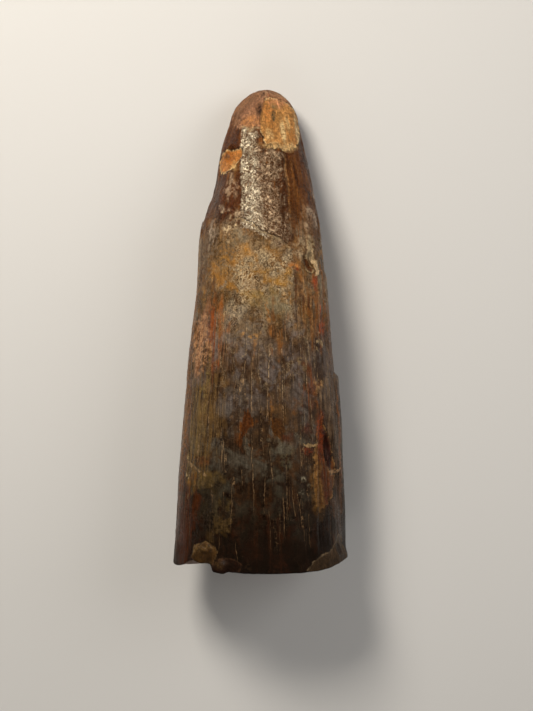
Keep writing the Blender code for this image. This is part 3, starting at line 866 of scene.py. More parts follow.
@dataclass
class CrownPaint:
    """Works out where every mark and crack lies on the points of the crown."""

    surface: ToothSurface
    skin: Skin
    warp_size: float = 0.85
    warp_degrees: float = 9.0
    warp_along: float = 1.0
    tear_size: float = 0.42
    tear_along: float = 2.6
    tear_stretch: float = 0.22
    chip_reach: float = 0.6
    chip_border: float = 0.12
    glaze_calm: float = 0.28
    patch_calm: float = 0.09
    crack_reach: float = 0.6
    crack_wander: float = 1.0
    crack_wander_size: float = 3.2
    fine_wander: float = 0.9
    fine_wander_size: float = 1.1
    crack_ends: Pair = (1.4, 1.6)
    faint_cracks: int = 230
    faint_lengths: Pair = (1.5, 7.0)
    faint_bend: Pair = (-2.0, 2.0)
    faint_strengths: Pair = (0.55, 0.9)
    hidden_strengths: Pair = (0.5, 1.1)
    seed: int = 23

    def __post_init__(self) -> None:
        """Clears the layers and works out how borders stray."""
        skin = self.skin
        count = len(skin.angle)
        self.layers = {kind: PaintLayer.clear(count) for kind in MARKS}
        self.chip_field = np.full(count, -self.chip_reach)
        self.chip_colour = np.zeros((count, 3))
        self.chip_rim = PaintLayer.clear(count)
        self.chip_depth = np.zeros(count)
        fine = 0.5 * noise_at(skin.place, self.warp_size * 0.4, 53.0)
        self.turn_warp = self.warp_degrees * (noise_at(skin.place, self.warp_size, 59.0) + fine)
        self.along_warp = self.warp_along * (noise_at(skin.place, self.warp_size, 61.0) - fine)
        around = self.surface.shape.half_width(skin.distance) / self.tear_size
        tear = crown_places(skin.angle, around, skin.distance * self.tear_stretch)
        self.tear = self.tear_along * noise_at(tear, 1.0, 67.0)

    def reach(self, kind: MarkKind, lean: float, spot: MarkPlace) -> Array:
        """How far each point is from a mark's middle, where 1 is the mark's border.

        Args:
            kind: The mark's kind.
            lean: How much the mark leans.
            spot: Its angle, distance, half angle and half distance.

        Returns:
            The reach of each point.
        """
        calm = self.glaze_calm if kind is MarkKind.GLAZE else 1.0
        distance = self.skin.distance + self.along_warp * calm
        if kind is MarkKind.FIBRES:
            distance = distance + self.tear
        down = (distance - spot[1]) / spot[3]
        turn = self.skin.turn_from(spot[0]) + self.turn_warp * calm
        across = turn / spot[2] + down * lean
        power = kind.value[1]
        return (np.abs(across) ** power + np.abs(down) ** power) ** (1.0 / power)

    def inside(self, outline: Outline, calm: float) -> Array:
        """How far each point lies inside an outline.

        Args:
            outline: The picture points of its corners.
            calm: How much of the borders' straying acts on it.

        Returns:
            Millimetres, positive inside and negative outside, up to the chips' reach.
        """
        corners = np.array([self.surface.skin_at(point) for point in outline])
        middle = float(corners[:, 0].mean())
        half = self.surface.shape.half_width
        corner_u = np.radians(corners[:, 0] - middle) * half(corners[:, 1])
        u = np.radians(self.skin.turn_from(middle) + self.turn_warp * calm) * half(self.skin.distance)
        v = self.skin.distance + self.along_warp * calm
        nearest = np.full(len(u), self.chip_reach)
        within = np.zeros(len(u), dtype=bool)
        ends = list(zip(corner_u, corners[:, 1]))
        for (from_u, from_v), (to_u, to_v) in zip(ends, ends[1:] + ends[:1]):
            wide, high = to_u - from_u, to_v - from_v
            along = (u - from_u) * wide + (v - from_v) * high
            share = np.clip(along / (wide * wide + high * high), 0.0, 1.0)
            nearest = np.minimum(nearest, np.hypot(u - from_u - share * wide, v - from_v - share * high))
            passed = (from_v > v) != (to_v > v)
            crossing = from_u + (v - from_v) / (high or 1e-9) * wide
            within ^= passed & (u < crossing)
        return np.where(within, nearest, -nearest)

    def lay_chip(self, chip: Patch, inside: Array) -> None:
        """Lays one chip over the others, with its colour, rim and depth."""
        taken = (inside > -self.chip_border) | (inside > self.chip_field)
        self.chip_field = np.where(taken, np.clip(inside, -self.chip_reach, self.chip_reach), self.chip_field)
        self.chip_colour[taken] = np.array(linear(chip.colour)[:3])
        rim = 1.0 if chip.rim is not None else 0.0
        self.chip_rim.lay(chip.rim or chip.colour, taken.astype(float))
        self.chip_rim.cover = np.where(taken, rim, self.chip_rim.cover)
        self.chip_depth = np.where(taken, chip.depth, self.chip_depth)

    def lay_mark(self, kind: MarkKind, mark: "Mark | HiddenMark", spot: MarkPlace) -> None:
        """Lays one mark on its kind's layer, or a sharp one into the chips."""
        reach = self.reach(kind, mark.lean, spot)
        if kind is MarkKind.CHIP:
            half_round = math.radians(spot[2]) * float(self.surface.shape.half_width(np.array([spot[1]]))[0])
            self.lay_chip(Patch((), mark.colour), (1.0 - reach) * min(half_round, spot[3]))
            return
        softness = kind.value[0]
        share = mark.strength * (1.0 - ramp(1.0 - softness, 1.0 + softness, reach))
        self.layers[kind].lay(mark.colour, share)

    def lay_marks(self) -> None:
        """Lays every patch and mark of the shown and the hidden sides."""
        for patch in PATCHES.values():
            self.lay_chip(patch, self.inside(patch.outline, self.patch_calm))
        # The frost patch holds pale crests that are partly painted highlight; its core marks where that
        # painted highlight is brightest.
        self.frost_glint = self.inside(FROST_GLINT_OUTLINE, self.patch_calm)
        self.glint_core_field = self.inside(GLINT_CORE_OUTLINE, self.patch_calm)
        skin_at = self.surface.skin_at
        for kind, marks in MARKS.items():
            for mark in marks.values():
                middle = skin_at((mark.x, mark.y))
                left = skin_at((mark.x - mark.half_wide, mark.y))
                right = skin_at((mark.x + mark.half_wide, mark.y))
                low = skin_at((mark.x, mark.y + mark.half_high))
                high = skin_at((mark.x, mark.y - mark.half_high))
                self.lay_mark(kind, mark, (*middle, (left[0] - right[0]) / 2.0, (low[1] - high[1]) / 2.0))
        for hidden in HIDDEN_MARKS.values():
            spot = (hidden.angle, hidden.distance, hidden.half_angle, hidden.half_along)
            self.lay_mark(hidden.kind, hidden, spot)

    def crack_lines(self) -> list[tuple[float, float, float, float, float]]:
        """Every crack as its top angle and distance, its bottom angle and distance, and its strength."""
        lines = []
        for crack in self.surface.cracks:
            top = self.surface.skin_at((crack.top_x, crack.top_y))
            bottom = self.surface.skin_at((crack.bottom_x, crack.bottom_y))
            lines.append((*top, *bottom, crack.strength))
        draw = np.random.default_rng(self.seed)
        for _ in range(self.faint_cracks):
            angle = draw.uniform(0.0, 360.0)
            hidden = abs(angle - 270.0) < 85.0
            top_at = draw.uniform(5.0 if hidden else 16.5, 34.0)
            length = draw.uniform(*self.faint_lengths)
            bend = draw.uniform(*self.faint_bend)
            strength = draw.uniform(*(self.hidden_strengths if hidden else self.faint_strengths))
            lines.append((angle, top_at, angle + bend, min(top_at + length, 37.0), strength))
        return lines

    def crack_field(self) -> Array:
        """Finds the nearest crack of each point.

        Returns:
            Rows of the side and distance in millimetres, the crack's strength, and the distance alone.
        """
        skin = self.skin
        half = self.surface.shape.half_width(skin.distance)
        wander = self.crack_wander * noise_at(skin.place, self.crack_wander_size, 3.0)
        wander += self.fine_wander * noise_at(skin.place, self.fine_wander_size, 71.0)
        nearest = np.full(len(skin.angle), self.crack_reach)
        side = nearest.copy()
        strength = np.zeros(len(skin.angle))
        for top_angle, top, bottom_angle, bottom, force in self.crack_lines():
            share = np.clip((skin.distance - top) / (bottom - top), 0.0, 1.0)
            line = top_angle + (bottom_angle - top_angle) * share + wander
            off = np.radians((skin.angle - line + 180.0) % 360.0 - 180.0) * half
            past = np.maximum(np.maximum(top - skin.distance, skin.distance - bottom), 0.0)
            away = np.hypot(off, past)
            closer = away < nearest
            nearest = np.where(closer, away, nearest)
            side = np.where(closer, np.sign(off) * away, side)
            ends = ramp(top, top + self.crack_ends[0], skin.distance)
            ends *= 1.0 - ramp(bottom - self.crack_ends[1], bottom, skin.distance)
            strength = np.where(closer, force * ends, strength)
        return np.stack([side, strength, nearest], axis=-1)

    def write(self, mesh: Mesh, cracks: Array) -> None:
        """Stores the layers, the chips and the cracks as attributes of the mesh's points."""
        for kind, layer in self.layers.items():
            self.store(mesh, kind.name.lower(), layer.rows())
        self.store(mesh, "chip", np.concatenate([self.chip_colour, self.chip_field[:, None]], axis=1))
        self.store(mesh, "chip_rim", self.chip_rim.rows())
        frost_glint = np.stack([self.frost_glint, self.glint_core_field, np.zeros(len(self.frost_glint))], axis=-1)
        for name, rows in (("crack", cracks), ("frost_glint", frost_glint)):
            attribute = mesh.attributes.new(name, "FLOAT_VECTOR", "POINT")
            attribute.data.foreach_set("vector", rows.astype(np.float32).ravel())

    def store(self, mesh: Mesh, name: str, rows: Array) -> None:
        """Stores rows of four numbers as a colour attribute."""
        attribute = mesh.attributes.new(name, "FLOAT_COLOR", "POINT")
        attribute.data.foreach_set("color", rows.astype(np.float32).ravel())


@dataclass
class ToothMesh:
    """The finished mesh of the tooth, built round the same values as its solid."""

    surface: ToothSurface = field(default_factory=ToothSurface)
    spokes: int = 280
    tip_rings: int = 16
    shaft_rings: int = 264
    break_rings: int = 30
    map_name: str = "crown_map"
    map_length: float = 50.0

    def turned_blank(self) -> Mesh:
        """Turns a closed blank of radius 1 that holds the crown's rings and spokes."""
        shape = self.surface.shape
        profile = []
        for ring in range(self.tip_rings):
            turn = math.radians(90.0) * ring / self.tip_rings
            profile.append((math.sin(turn), shape.tip_rounding * (1.0 - math.cos(turn))))
        shaft = shape.length - shape.tip_rounding
        for ring in range(self.shaft_rings + 1):
            profile.append((1.0, shape.tip_rounding + shaft * ring / self.shaft_rings))
        for ring in range(1, self.break_rings + 1):
            profile.append((1.0 - ring / self.break_rings, shape.length))
        blank = bmesh.new()
        previous = None
        for radius, distance in profile:
            corner = blank.verts.new((radius, -distance, 0.0))
            if previous is not None:
                blank.edges.new((previous, corner))
            previous = corner
        bmesh.ops.spin(
            blank,
            geom=blank.verts[:] + blank.edges[:],
            axis=(0.0, 1.0, 0.0),
            angle=math.radians(360.0),
            steps=self.spokes,
            use_merge=True,
        )
        bmesh.ops.remove_doubles(blank, verts=blank.verts[:], dist=WELD_DISTANCE)
        bmesh.ops.recalc_face_normals(blank, faces=blank.faces[:])
        mesh = bpy.data.meshes.new("fossil_tooth")
        blank.to_mesh(mesh)
        blank.free()
        return mesh

    def read_skin(self, mesh: Mesh) -> Skin:
        """Reads each point's surface coordinates from the blank and places it on the plain crown."""
        shape = self.surface.shape
        flat = np.empty(len(mesh.vertices) * 3)
        mesh.vertices.foreach_get("co", flat)
        blank = flat.reshape(-1, 3)
        angle = np.degrees(np.arctan2(blank[:, 2], blank[:, 0])) % 360.0
        fullness = np.hypot(blank[:, 0], blank[:, 2])
        on_break = (-blank[:, 1] > shape.length - WELD_DISTANCE) & (fullness < 1.0 - WELD_DISTANCE)
        distance = shape.end_distance(angle, -blank[:, 1])
        mean_end = shape.length - shape.break_dish
        distance = np.where(on_break, mean_end + (distance - mean_end) * fullness ** 3, distance)
        place = shape.point(angle, distance, fullness)
        grain = noise_at(place, shape.break_grain_size) * (1.0 - fullness ** 4)
        place[:, 1] += np.where(on_break, shape.break_roughness * grain, 0.0)
        return Skin(angle, distance, fullness, on_break, place)

    def normals(self, mesh: Mesh, place: Array) -> Array:
        """Writes the points into the mesh and reads the normal of each."""
        mesh.vertices.foreach_set("co", place.ravel())
        mesh.update()
        flat = np.empty(len(mesh.vertices) * 3)
        mesh.vertices.foreach_get("normal", flat)
        return flat.reshape(-1, 3)

    def add_main_forms(self, mesh: Mesh, skin: Skin) -> None:
        """Lifts and sinks the surface for the forms that the solid has too."""
        surface = self.surface
        normal = self.normals(mesh, skin.place)
        rag = surface.rim_rag(skin)
        wander = surface.layer_wander * noise_at(skin.place, surface.layer_wander_size, 7.0)
        height = surface.natural_height(skin) * skin.fullness
        height += surface.layer_height(skin, wander)
        height += surface.flake_height(skin)
        height -= surface.scar_depth * surface.scar_share(skin)
        for spot in surface.spots.values():
            height += spot.height * spot.share(skin, surface.shape, rag)
        knob = surface.spots["knob"]
        knob_share = knob.share(skin, surface.shape, rag)
        outward = normal.copy()
        outward[:, 1] = np.maximum(outward[:, 1], 0.0)
        outward /= np.maximum(np.linalg.norm(outward, axis=1), 1e-9)[:, None]
        side = ~skin.on_break
        skin.place[side] += (outward * height[:, None])[side]
        skin.place[:, 1] -= np.where(side, surface.knob_overhang * knob_share, 0.0)
        near_rim = ramp(surface.knob_inner_fullness, 1.0, skin.fullness)
        skin.place[:, 1] -= np.where(side, 0.0, knob.height * knob_share * near_rim)

    def cut_facets(self, skin: Skin) -> None:
        """Presses the tip's points down towards each wear facet's plane."""
        shape = self.surface.shape
        for facet in self.surface.facets.values():
            turn = math.radians(facet.angle)
            share = min(facet.distance / shape.tip_rounding, 1.0)
            fullness = math.sqrt(1.0 - (1.0 - share) ** 2)
            middle = shape.point(np.array(facet.angle), np.array(facet.distance), np.array(fullness))
            lean = math.radians(facet.lean)
            level = math.cos(lean)
            facing = np.array([math.cos(turn) * level, math.sin(lean), math.sin(turn) * level])
            over = (skin.place - (middle - facing * facet.depth)) @ facing
            skin.place -= np.maximum(over, 0.0)[:, None] * facing * (1.0 - self.surface.facet_dome)

    def settle(self, skin: Skin) -> None:
        """Puts the tooth on the floor and under the middle of the solid's box."""
        place = skin.place
        place[:, 2] = np.maximum(place[:, 2] - place[:, 2].min() - self.surface.rest_wear, 0.0)
        low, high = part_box("tooth")
        for axis in (0, 1):
            solid_middle = (low[axis] + high[axis]) / 2.0 / METRES_PER_MM
            place[:, axis] += solid_middle - (place[:, axis].min() + place[:, axis].max()) / 2.0

    def fine_height(self, skin: Skin, paint: CrownPaint, cracks: Array) -> Array:
        """The fine relief: cracks, wrinkled enamel, fibres and grain."""
        surface = self.surface
        groove = 1.0 - ramp(0.0, surface.crack_half_width, cracks[:, 2])
        height = -surface.crack_depth * cracks[:, 1] * groove
        frost_glint = ramp(-0.1, 0.3, paint.frost_glint)
        wrinkle_place = skin.place * np.array([1.0, surface.wrinkle_stretch, 1.0])
        wrinkle = 1.0 - 2.0 * np.abs(noise_at(wrinkle_place, surface.wrinkle_size, 11.0))
        height += surface.frost_height * frost_glint * wrinkle
        fibre_place = crown_places(skin.angle, surface.fibre_count, skin.distance / surface.fibre_stretch)
        fibre = noise_at(fibre_place, 1.0, 5.0)
        started = ramp(*surface.fibre_start, skin.distance)
        height += surface.fibre_height * fibre * started * (1.0 - 0.6 * frost_glint)
        height += surface.grain_height * noise_at(skin.place, surface.grain_size, 17.0)
        return height

    def chips(self, skin: Skin) -> Array:
        """Small seeded chips, thicker along the edges and round the resting side."""
        surface = self.surface
        draw = np.random.default_rng(surface.chip_seed)
        rag = surface.rim_rag(skin) + 0.25 * noise_at(skin.place, 0.3, 23.0)
        height = np.zeros(len(skin.angle))
        for _ in range(surface.chip_count):
            angle = draw.uniform(-150.0, 150.0) + 270.0
            if abs(angle - 270.0) > 105.0:
                angle += 35.0 * float(np.sign(270.0 - angle))
            size = draw.uniform(*surface.chip_sizes)
            place = draw.uniform(3.0, 37.0)
            depth = -draw.uniform(*surface.chip_depths)
            spot = Spot(angle % 360.0, place, size, size * draw.uniform(*surface.chip_stretch), depth, 0.5)
            height += spot.height * spot.share(skin, surface.shape, rag)
        return height

    def add_fine_forms(self, mesh: Mesh, skin: Skin, paint: CrownPaint, cracks: Array) -> None:
        """Adds the fine relief of the crown, the tip's facets, the crumb and the break.

        Args:
            mesh: The mesh, for the normals of its points.
            skin: The points.
            paint: The marks, of which the chips are sunk.
            cracks: The nearest crack of each point.
        """
        surface = self.surface
        shape = surface.shape
        rag = surface.rim_rag(skin)
        normal = self.normals(mesh, skin.place)
        side = ~skin.on_break
        near_tip = 1.0 - ramp(*surface.tip_end, skin.distance)
        height = (self.fine_height(skin, paint, cracks) + self.chips(skin)) * (1.0 - 0.7 * near_tip)
        height -= paint.chip_depth * ramp(-0.06, 0.06, paint.chip_field)
        height += surface.facet_grain * near_tip * noise_at(skin.place, surface.facet_grain_size, 29.0)
        crumb = surface.spots["crumb"].share(skin, shape, rag)
        coarse, fine = surface.crumb_grain_sizes
        grain = noise_at(skin.place, coarse, 31.0) + 0.6 * noise_at(skin.place, fine, 37.0)
        knob = surface.spots["knob"].share(skin, shape, rag)
        height += surface.crumb_grain * np.maximum(crumb, 0.7 * knob) * grain
        coarse, fine = surface.break_grain_sizes
        rough = noise_at(skin.place, coarse, 43.0) + 0.5 * noise_at(skin.place, fine, 47.0)
        terrace = np.round(rough * surface.terraces) / surface.terraces
        broken = surface.break_grain * (0.5 * rough + 0.5 * terrace) * (1.0 - skin.fullness ** 6)
        height = np.where(side, height, broken)
        off_floor = ramp(0.0, surface.floor_gap, skin.place[:, 2])
        skin.place += normal * (height * off_floor)[:, None]
        skin.place[:, 2] = np.maximum(skin.place[:, 2], 0.0)

    def lay_map(self, mesh: Mesh, skin: Skin) -> None:
        """Gives the mesh a map whose u goes round the crown and whose v goes from tip to break."""
        shape = self.surface.shape
        around = ((270.0 - skin.angle) % 360.0) / 360.0
        inward = np.where(skin.on_break, (1.0 - skin.fullness) * shape.half_width(skin.distance), 0.0)
        along = (np.where(skin.on_break, shape.length, skin.distance) + inward) / self.map_length
        corners, starts = face_corners(mesh)
        u = around[corners]
        v = along[corners]
        face_of = np.repeat(np.arange(len(starts)), np.diff(np.append(starts, len(corners))))
        highest = np.maximum.reduceat(u, starts)[face_of]
        u = np.where(highest - u > 0.5, u + 1.0, u)
        pole = skin.fullness[corners] < WELD_DISTANCE
        others = np.where(pole, 0.0, u)
        count = np.add.reduceat((~pole).astype(float), starts)[face_of]
        u = np.where(pole, np.add.reduceat(others, starts)[face_of] / count, u)
        layer = mesh.uv_layers.new(name=self.map_name)
        layer.uv.foreach_set("vector", np.stack([u, v], axis=-1).astype(np.float32).ravel())

    def build(self) -> tuple[Object, Skin]:
        """Builds the tooth.

        Returns:
            The finished object, and the surface coordinates of its points.
        """
        mesh = self.turned_blank()
        skin = self.read_skin(mesh)
        self.add_main_forms(mesh, skin)
        self.cut_facets(skin)
        self.settle(skin)
        paint = CrownPaint(self.surface, skin)
        paint.lay_marks()
        cracks = paint.crack_field()
        self.add_fine_forms(mesh, skin, paint, cracks)
        paint.write(mesh, cracks)
        mesh.vertices.foreach_set("co", (skin.place * METRES_PER_MM).ravel())
        mesh.shade_smooth()
        mesh.update()
        self.lay_map(mesh, skin)
        return add_object("fossil_tooth", mesh), skin


class Wiring:
    """Adds nodes to one node tree and joins them."""

    def __init__(self, tree: NodeTree) -> None:
        """Keeps the tree that the nodes go into."""
        self.tree = tree

    def put(self, node: Node, name: str | int, value: object) -> None:
        """Joins a socket to an input, or sets the input's own value."""
        target = node.inputs[name]
        if isinstance(value, NodeSocket):
            self.tree.links.new(value, target)
        else:
            target.default_value = value

    def node(self, kind: str, inputs: dict | None = None, **settings: object) -> Node:
        """Adds a node.

        Args:
            kind: The node's type name.
            inputs: Sockets or values by input name or number.
            settings: Properties of the node itself.

        Returns:
            The new node.
        """
        made = self.tree.nodes.new(kind)
        for name, value in settings.items():
            setattr(made, name, value)
        for name, value in (inputs or {}).items():
            self.put(made, name, value)
        return made

    def math(self, operation: str, *values: object, clamp: bool = False) -> NodeSocket:
        """Adds a Math node and returns its value."""
        made = self.node("ShaderNodeMath", dict(enumerate(values)), operation=operation, use_clamp=clamp)
        return made.outputs[0]

    def fit(self, value: object, low: object, high: object, start: float = 0.0,
            end: float = 1.0) -> NodeSocket:
        """Maps a value smoothly from low and high to start and end."""
        inputs = {"Value": value, "From Min": low, "From Max": high, "To Min": start, "To Max": end}
        made = self.node("ShaderNodeMapRange", inputs, interpolation_type="SMOOTHSTEP", clamp=True)
        return made.outputs["Result"]

    def mix(self, share: object, first: object, second: object, blend: str = "MIX") -> NodeSocket:
        """Mixes two colours and returns the result."""
        made = self.node("ShaderNodeMix", data_type="RGBA", blend_type=blend, clamp_factor=True)
        self.put(made, 0, share)
        self.put(made, 6, first)
        self.put(made, 7, second)
        return made.outputs[2]

    def noise(self, place: object, size: float, detail: float = 2.0, rough: float = 0.5,
              twist: float = 0.0) -> NodeSocket:
        """Adds a noise whose features have a size in the units of its place."""
        inputs = {"Vector": place, "Scale": 1.0 / size, "Detail": detail, "Roughness": rough}
        inputs["Distortion"] = twist
        return self.node("ShaderNodeTexNoise", inputs).outputs["Fac"]

    def vector(self, operation: str, inputs: dict) -> NodeSocket:
        """Adds a Vector Math node and returns its vector."""
        return self.node("ShaderNodeVectorMath", inputs, operation=operation).outputs[0]

    def scaled(self, place: object, by: tuple[float, float, float]) -> NodeSocket:
        """Multiplies a vector by another."""
        return self.vector("MULTIPLY", {0: place, 1: by})

    def millimetres(self) -> NodeSocket:
        """The place on the object in millimetres."""
        return self.scaled(self.node("ShaderNodeTexCoord").outputs["Object"], (1.0 / METRES_PER_MM,) * 3)

    def add(self, base: object, part: object, amount: object) -> NodeSocket:
        """Adds a part to a value, as many times as the amount says."""
        return self.math("MULTIPLY_ADD", part, amount, base)

    def centred(self, value: object) -> NodeSocket:
        """A noise that swings round 0 instead of one half."""
        return self.math("SUBTRACT", value, 0.5)

    def half_each(self, first: object, second: object) -> NodeSocket:
        """The mean of two values."""
        return self.add(self.math("MULTIPLY", second, 0.5), first, 0.5)

    def put_bump(self, shader: Node, height: object, metres: float) -> None:
        """Gives a shader fine relief."""
        bump = self.node("ShaderNodeBump", {"Height": height, "Distance": metres, "Strength": 1.0})
        self.put(shader, "Normal", bump.outputs[0])

    def off(self, value: object, middle: object) -> NodeSocket:
        """How far a value is from another."""
        return self.math("ABSOLUTE", self.math("SUBTRACT", value, middle))

    def curve(self, value: object, points: Curve, top: float = 1.0) -> NodeSocket:
        """Reads a smooth curve through a few points.

        Args:
            value: The place on the curve, from 0 to that of the last point.
            points: The places and heights that the curve goes through.
            top: A height that no point passes.

        Returns:
            The curve's height.
        """
        span = points[-1][0]
        made = self.node("ShaderNodeFloatCurve", {"Value": self.math("DIVIDE", value, span)})
        line = made.mapping.curves[0]
        line.points[0].location = (0.0, points[0][1] / top)
        line.points[1].location = (1.0, points[-1][1] / top)
        for at, height in points[1:-1]:
            line.points.new(at / span, height / top)
        made.mapping.update()
        return self.math("MULTIPLY", made.outputs[0], top)


class Group:
    """A shader node group with named inputs and outputs."""

    def __init__(self, name: str, inputs: dict[str, str], outputs: dict[str, str]) -> None:
        """Makes the empty group.

        Args:
            name: The group's name.
            inputs: Socket types by input name.
            outputs: Socket types by output name.
        """
        self.tree = bpy.data.node_groups.new(name, "ShaderNodeTree")
        for label, kind in inputs.items():
            self.tree.interface.new_socket(name=label, in_out="INPUT", socket_type=kind)
        for label, kind in outputs.items():
            self.tree.interface.new_socket(name=label, in_out="OUTPUT", socket_type=kind)
        self.wiring = Wiring(self.tree)
        self.inside = self.tree.nodes.new("NodeGroupInput").outputs
        self.outside = self.tree.nodes.new("NodeGroupOutput")

    def give(self, name: str, socket: NodeSocket) -> None:
        """Joins a socket to one of the group's outputs."""
        self.tree.links.new(socket, self.outside.inputs[name])

    def use(self, wiring: Wiring, inputs: dict[str, object]) -> Node:
        """Places the group in a material with its own values."""
        made = wiring.tree.nodes.new("ShaderNodeGroup")
        made.node_tree = self.tree
        for name, value in inputs.items():
            wiring.put(made, name, value)
        return made


NUMBER = "NodeSocketFloat"
VECTOR = "NodeSocketVector"


class CrownGroups:
    """The effects that the tooth's materials share."""

    def __init__(self, surface: ToothSurface, tooth_mesh: ToothMesh) -> None:
        """Builds every group once."""
        self.surface = surface
        self.tooth_mesh = tooth_mesh
        self.place = self.build_place()
        self.net = self.build_net()
        self.crazing = self.build_crazing()

    def build_place(self) -> Group:
        """Surface coordinates: the angle, the distance and a vector whose patterns run lengthwise."""
        outputs = {"Angle": NUMBER, "Distance": NUMBER, "Lengthwise": VECTOR}
        group = Group("crown place", {"Map": VECTOR}, outputs)
        wiring = group.wiring
        split = wiring.node("ShaderNodeSeparateXYZ", {0: group.inside["Map"]}).outputs
        left_turn = wiring.math("MULTIPLY_ADD", split[0], -360.0, 270.0)
        angle = wiring.math("FLOORED_MODULO", left_turn, 360.0)
        distance = wiring.math("MULTIPLY", split[1], self.tooth_mesh.map_length)
        turn = wiring.math("RADIANS", angle)
        cosine = wiring.math("COSINE", turn)
        sine = wiring.math("SINE", turn)
        vector = wiring.node("ShaderNodeCombineXYZ", {0: cosine, 1: sine, 2: distance})
        group.give("Angle", angle)
        group.give("Distance", distance)
        group.give("Lengthwise", vector.outputs[0])
        return group

    def build_net(self) -> Group:
        """A dense net of wormy wrinkles: pale crests on a darker ground."""
        group = Group("enamel net", {"Place": VECTOR}, {"Crest": NUMBER, "Gap": NUMBER})
        wiring = group.wiring
        place = group.inside["Place"]
        settings = {"Vector": place, "Scale": 1.6, "Detail": 2.0}
        stray = wiring.node("ShaderNodeTexNoise", settings).outputs["Color"]
        bent = wiring.vector("SUBTRACT", {0: stray, 1: (0.5, 0.5, 0.5)})
        bent = wiring.vector("MULTIPLY_ADD", {0: bent, 1: (1.1, 1.1, 1.1), 2: place})
        long_place = wiring.scaled(bent, (1.0, 0.62, 1.0))
        broad = wiring.noise(long_place, 0.28, 1.0, 0.5)
        fine = wiring.noise(long_place, 0.16, 1.0, 0.5)
        broad_off = wiring.off(broad, 0.5)
        fine_off = wiring.off(fine, 0.5)
        crest = wiring.math("MAXIMUM", wiring.fit(broad_off, 0.066, 0.012, 0.0, 1.0),
                            wiring.fit(fine_off, 0.056, 0.006, 0.0, 0.95))
        gap = wiring.math("MULTIPLY", wiring.fit(broad_off, 0.06, 0.14), wiring.fit(fine_off, 0.04, 0.12))
        group.give("Crest", crest)
        group.give("Gap", gap)
        return group

    def build_crazing(self) -> Group:
        """A net of fine cracks whose cells are longer along the crown."""
        group = Group("crazing", {"Lengthwise": VECTOR, "Place": VECTOR}, {"Line": NUMBER, "Cell": NUMBER})
        wiring = group.wiring
        settings = {"Vector": group.inside["Place"], "Scale": 1.1, "Detail": 4.0, "Roughness": 0.65}
        stray = wiring.node("ShaderNodeTexNoise", settings).outputs["Color"]
        long_place = wiring.scaled(group.inside["Lengthwise"], (7.5, 7.5, 0.62))
        bent = wiring.vector("MULTIPLY_ADD", {0: stray, 1: (1.5, 1.5, 1.5), 2: long_place})
        cells = {"Vector": bent, "Scale": 1.0, "Randomness": 1.0}
        edge = wiring.node("ShaderNodeTexVoronoi", cells, feature="DISTANCE_TO_EDGE").outputs["Distance"]
        cell = wiring.node("ShaderNodeTexVoronoi", cells, feature="F1").outputs["Color"]
        group.give("Line", wiring.fit(edge, 0.05, 0.0))
        group.give("Cell", wiring.node("ShaderNodeSeparateColor", {0: cell}).outputs[0])
        return group


@dataclass(frozen=True)
class Zone:
    """The crown's colours at one distance: its ground, dark and pale streaks, and cloudy haze."""

    distance: float
    ground: Colour
    dark: Colour
    pale: Colour
    haze: Colour


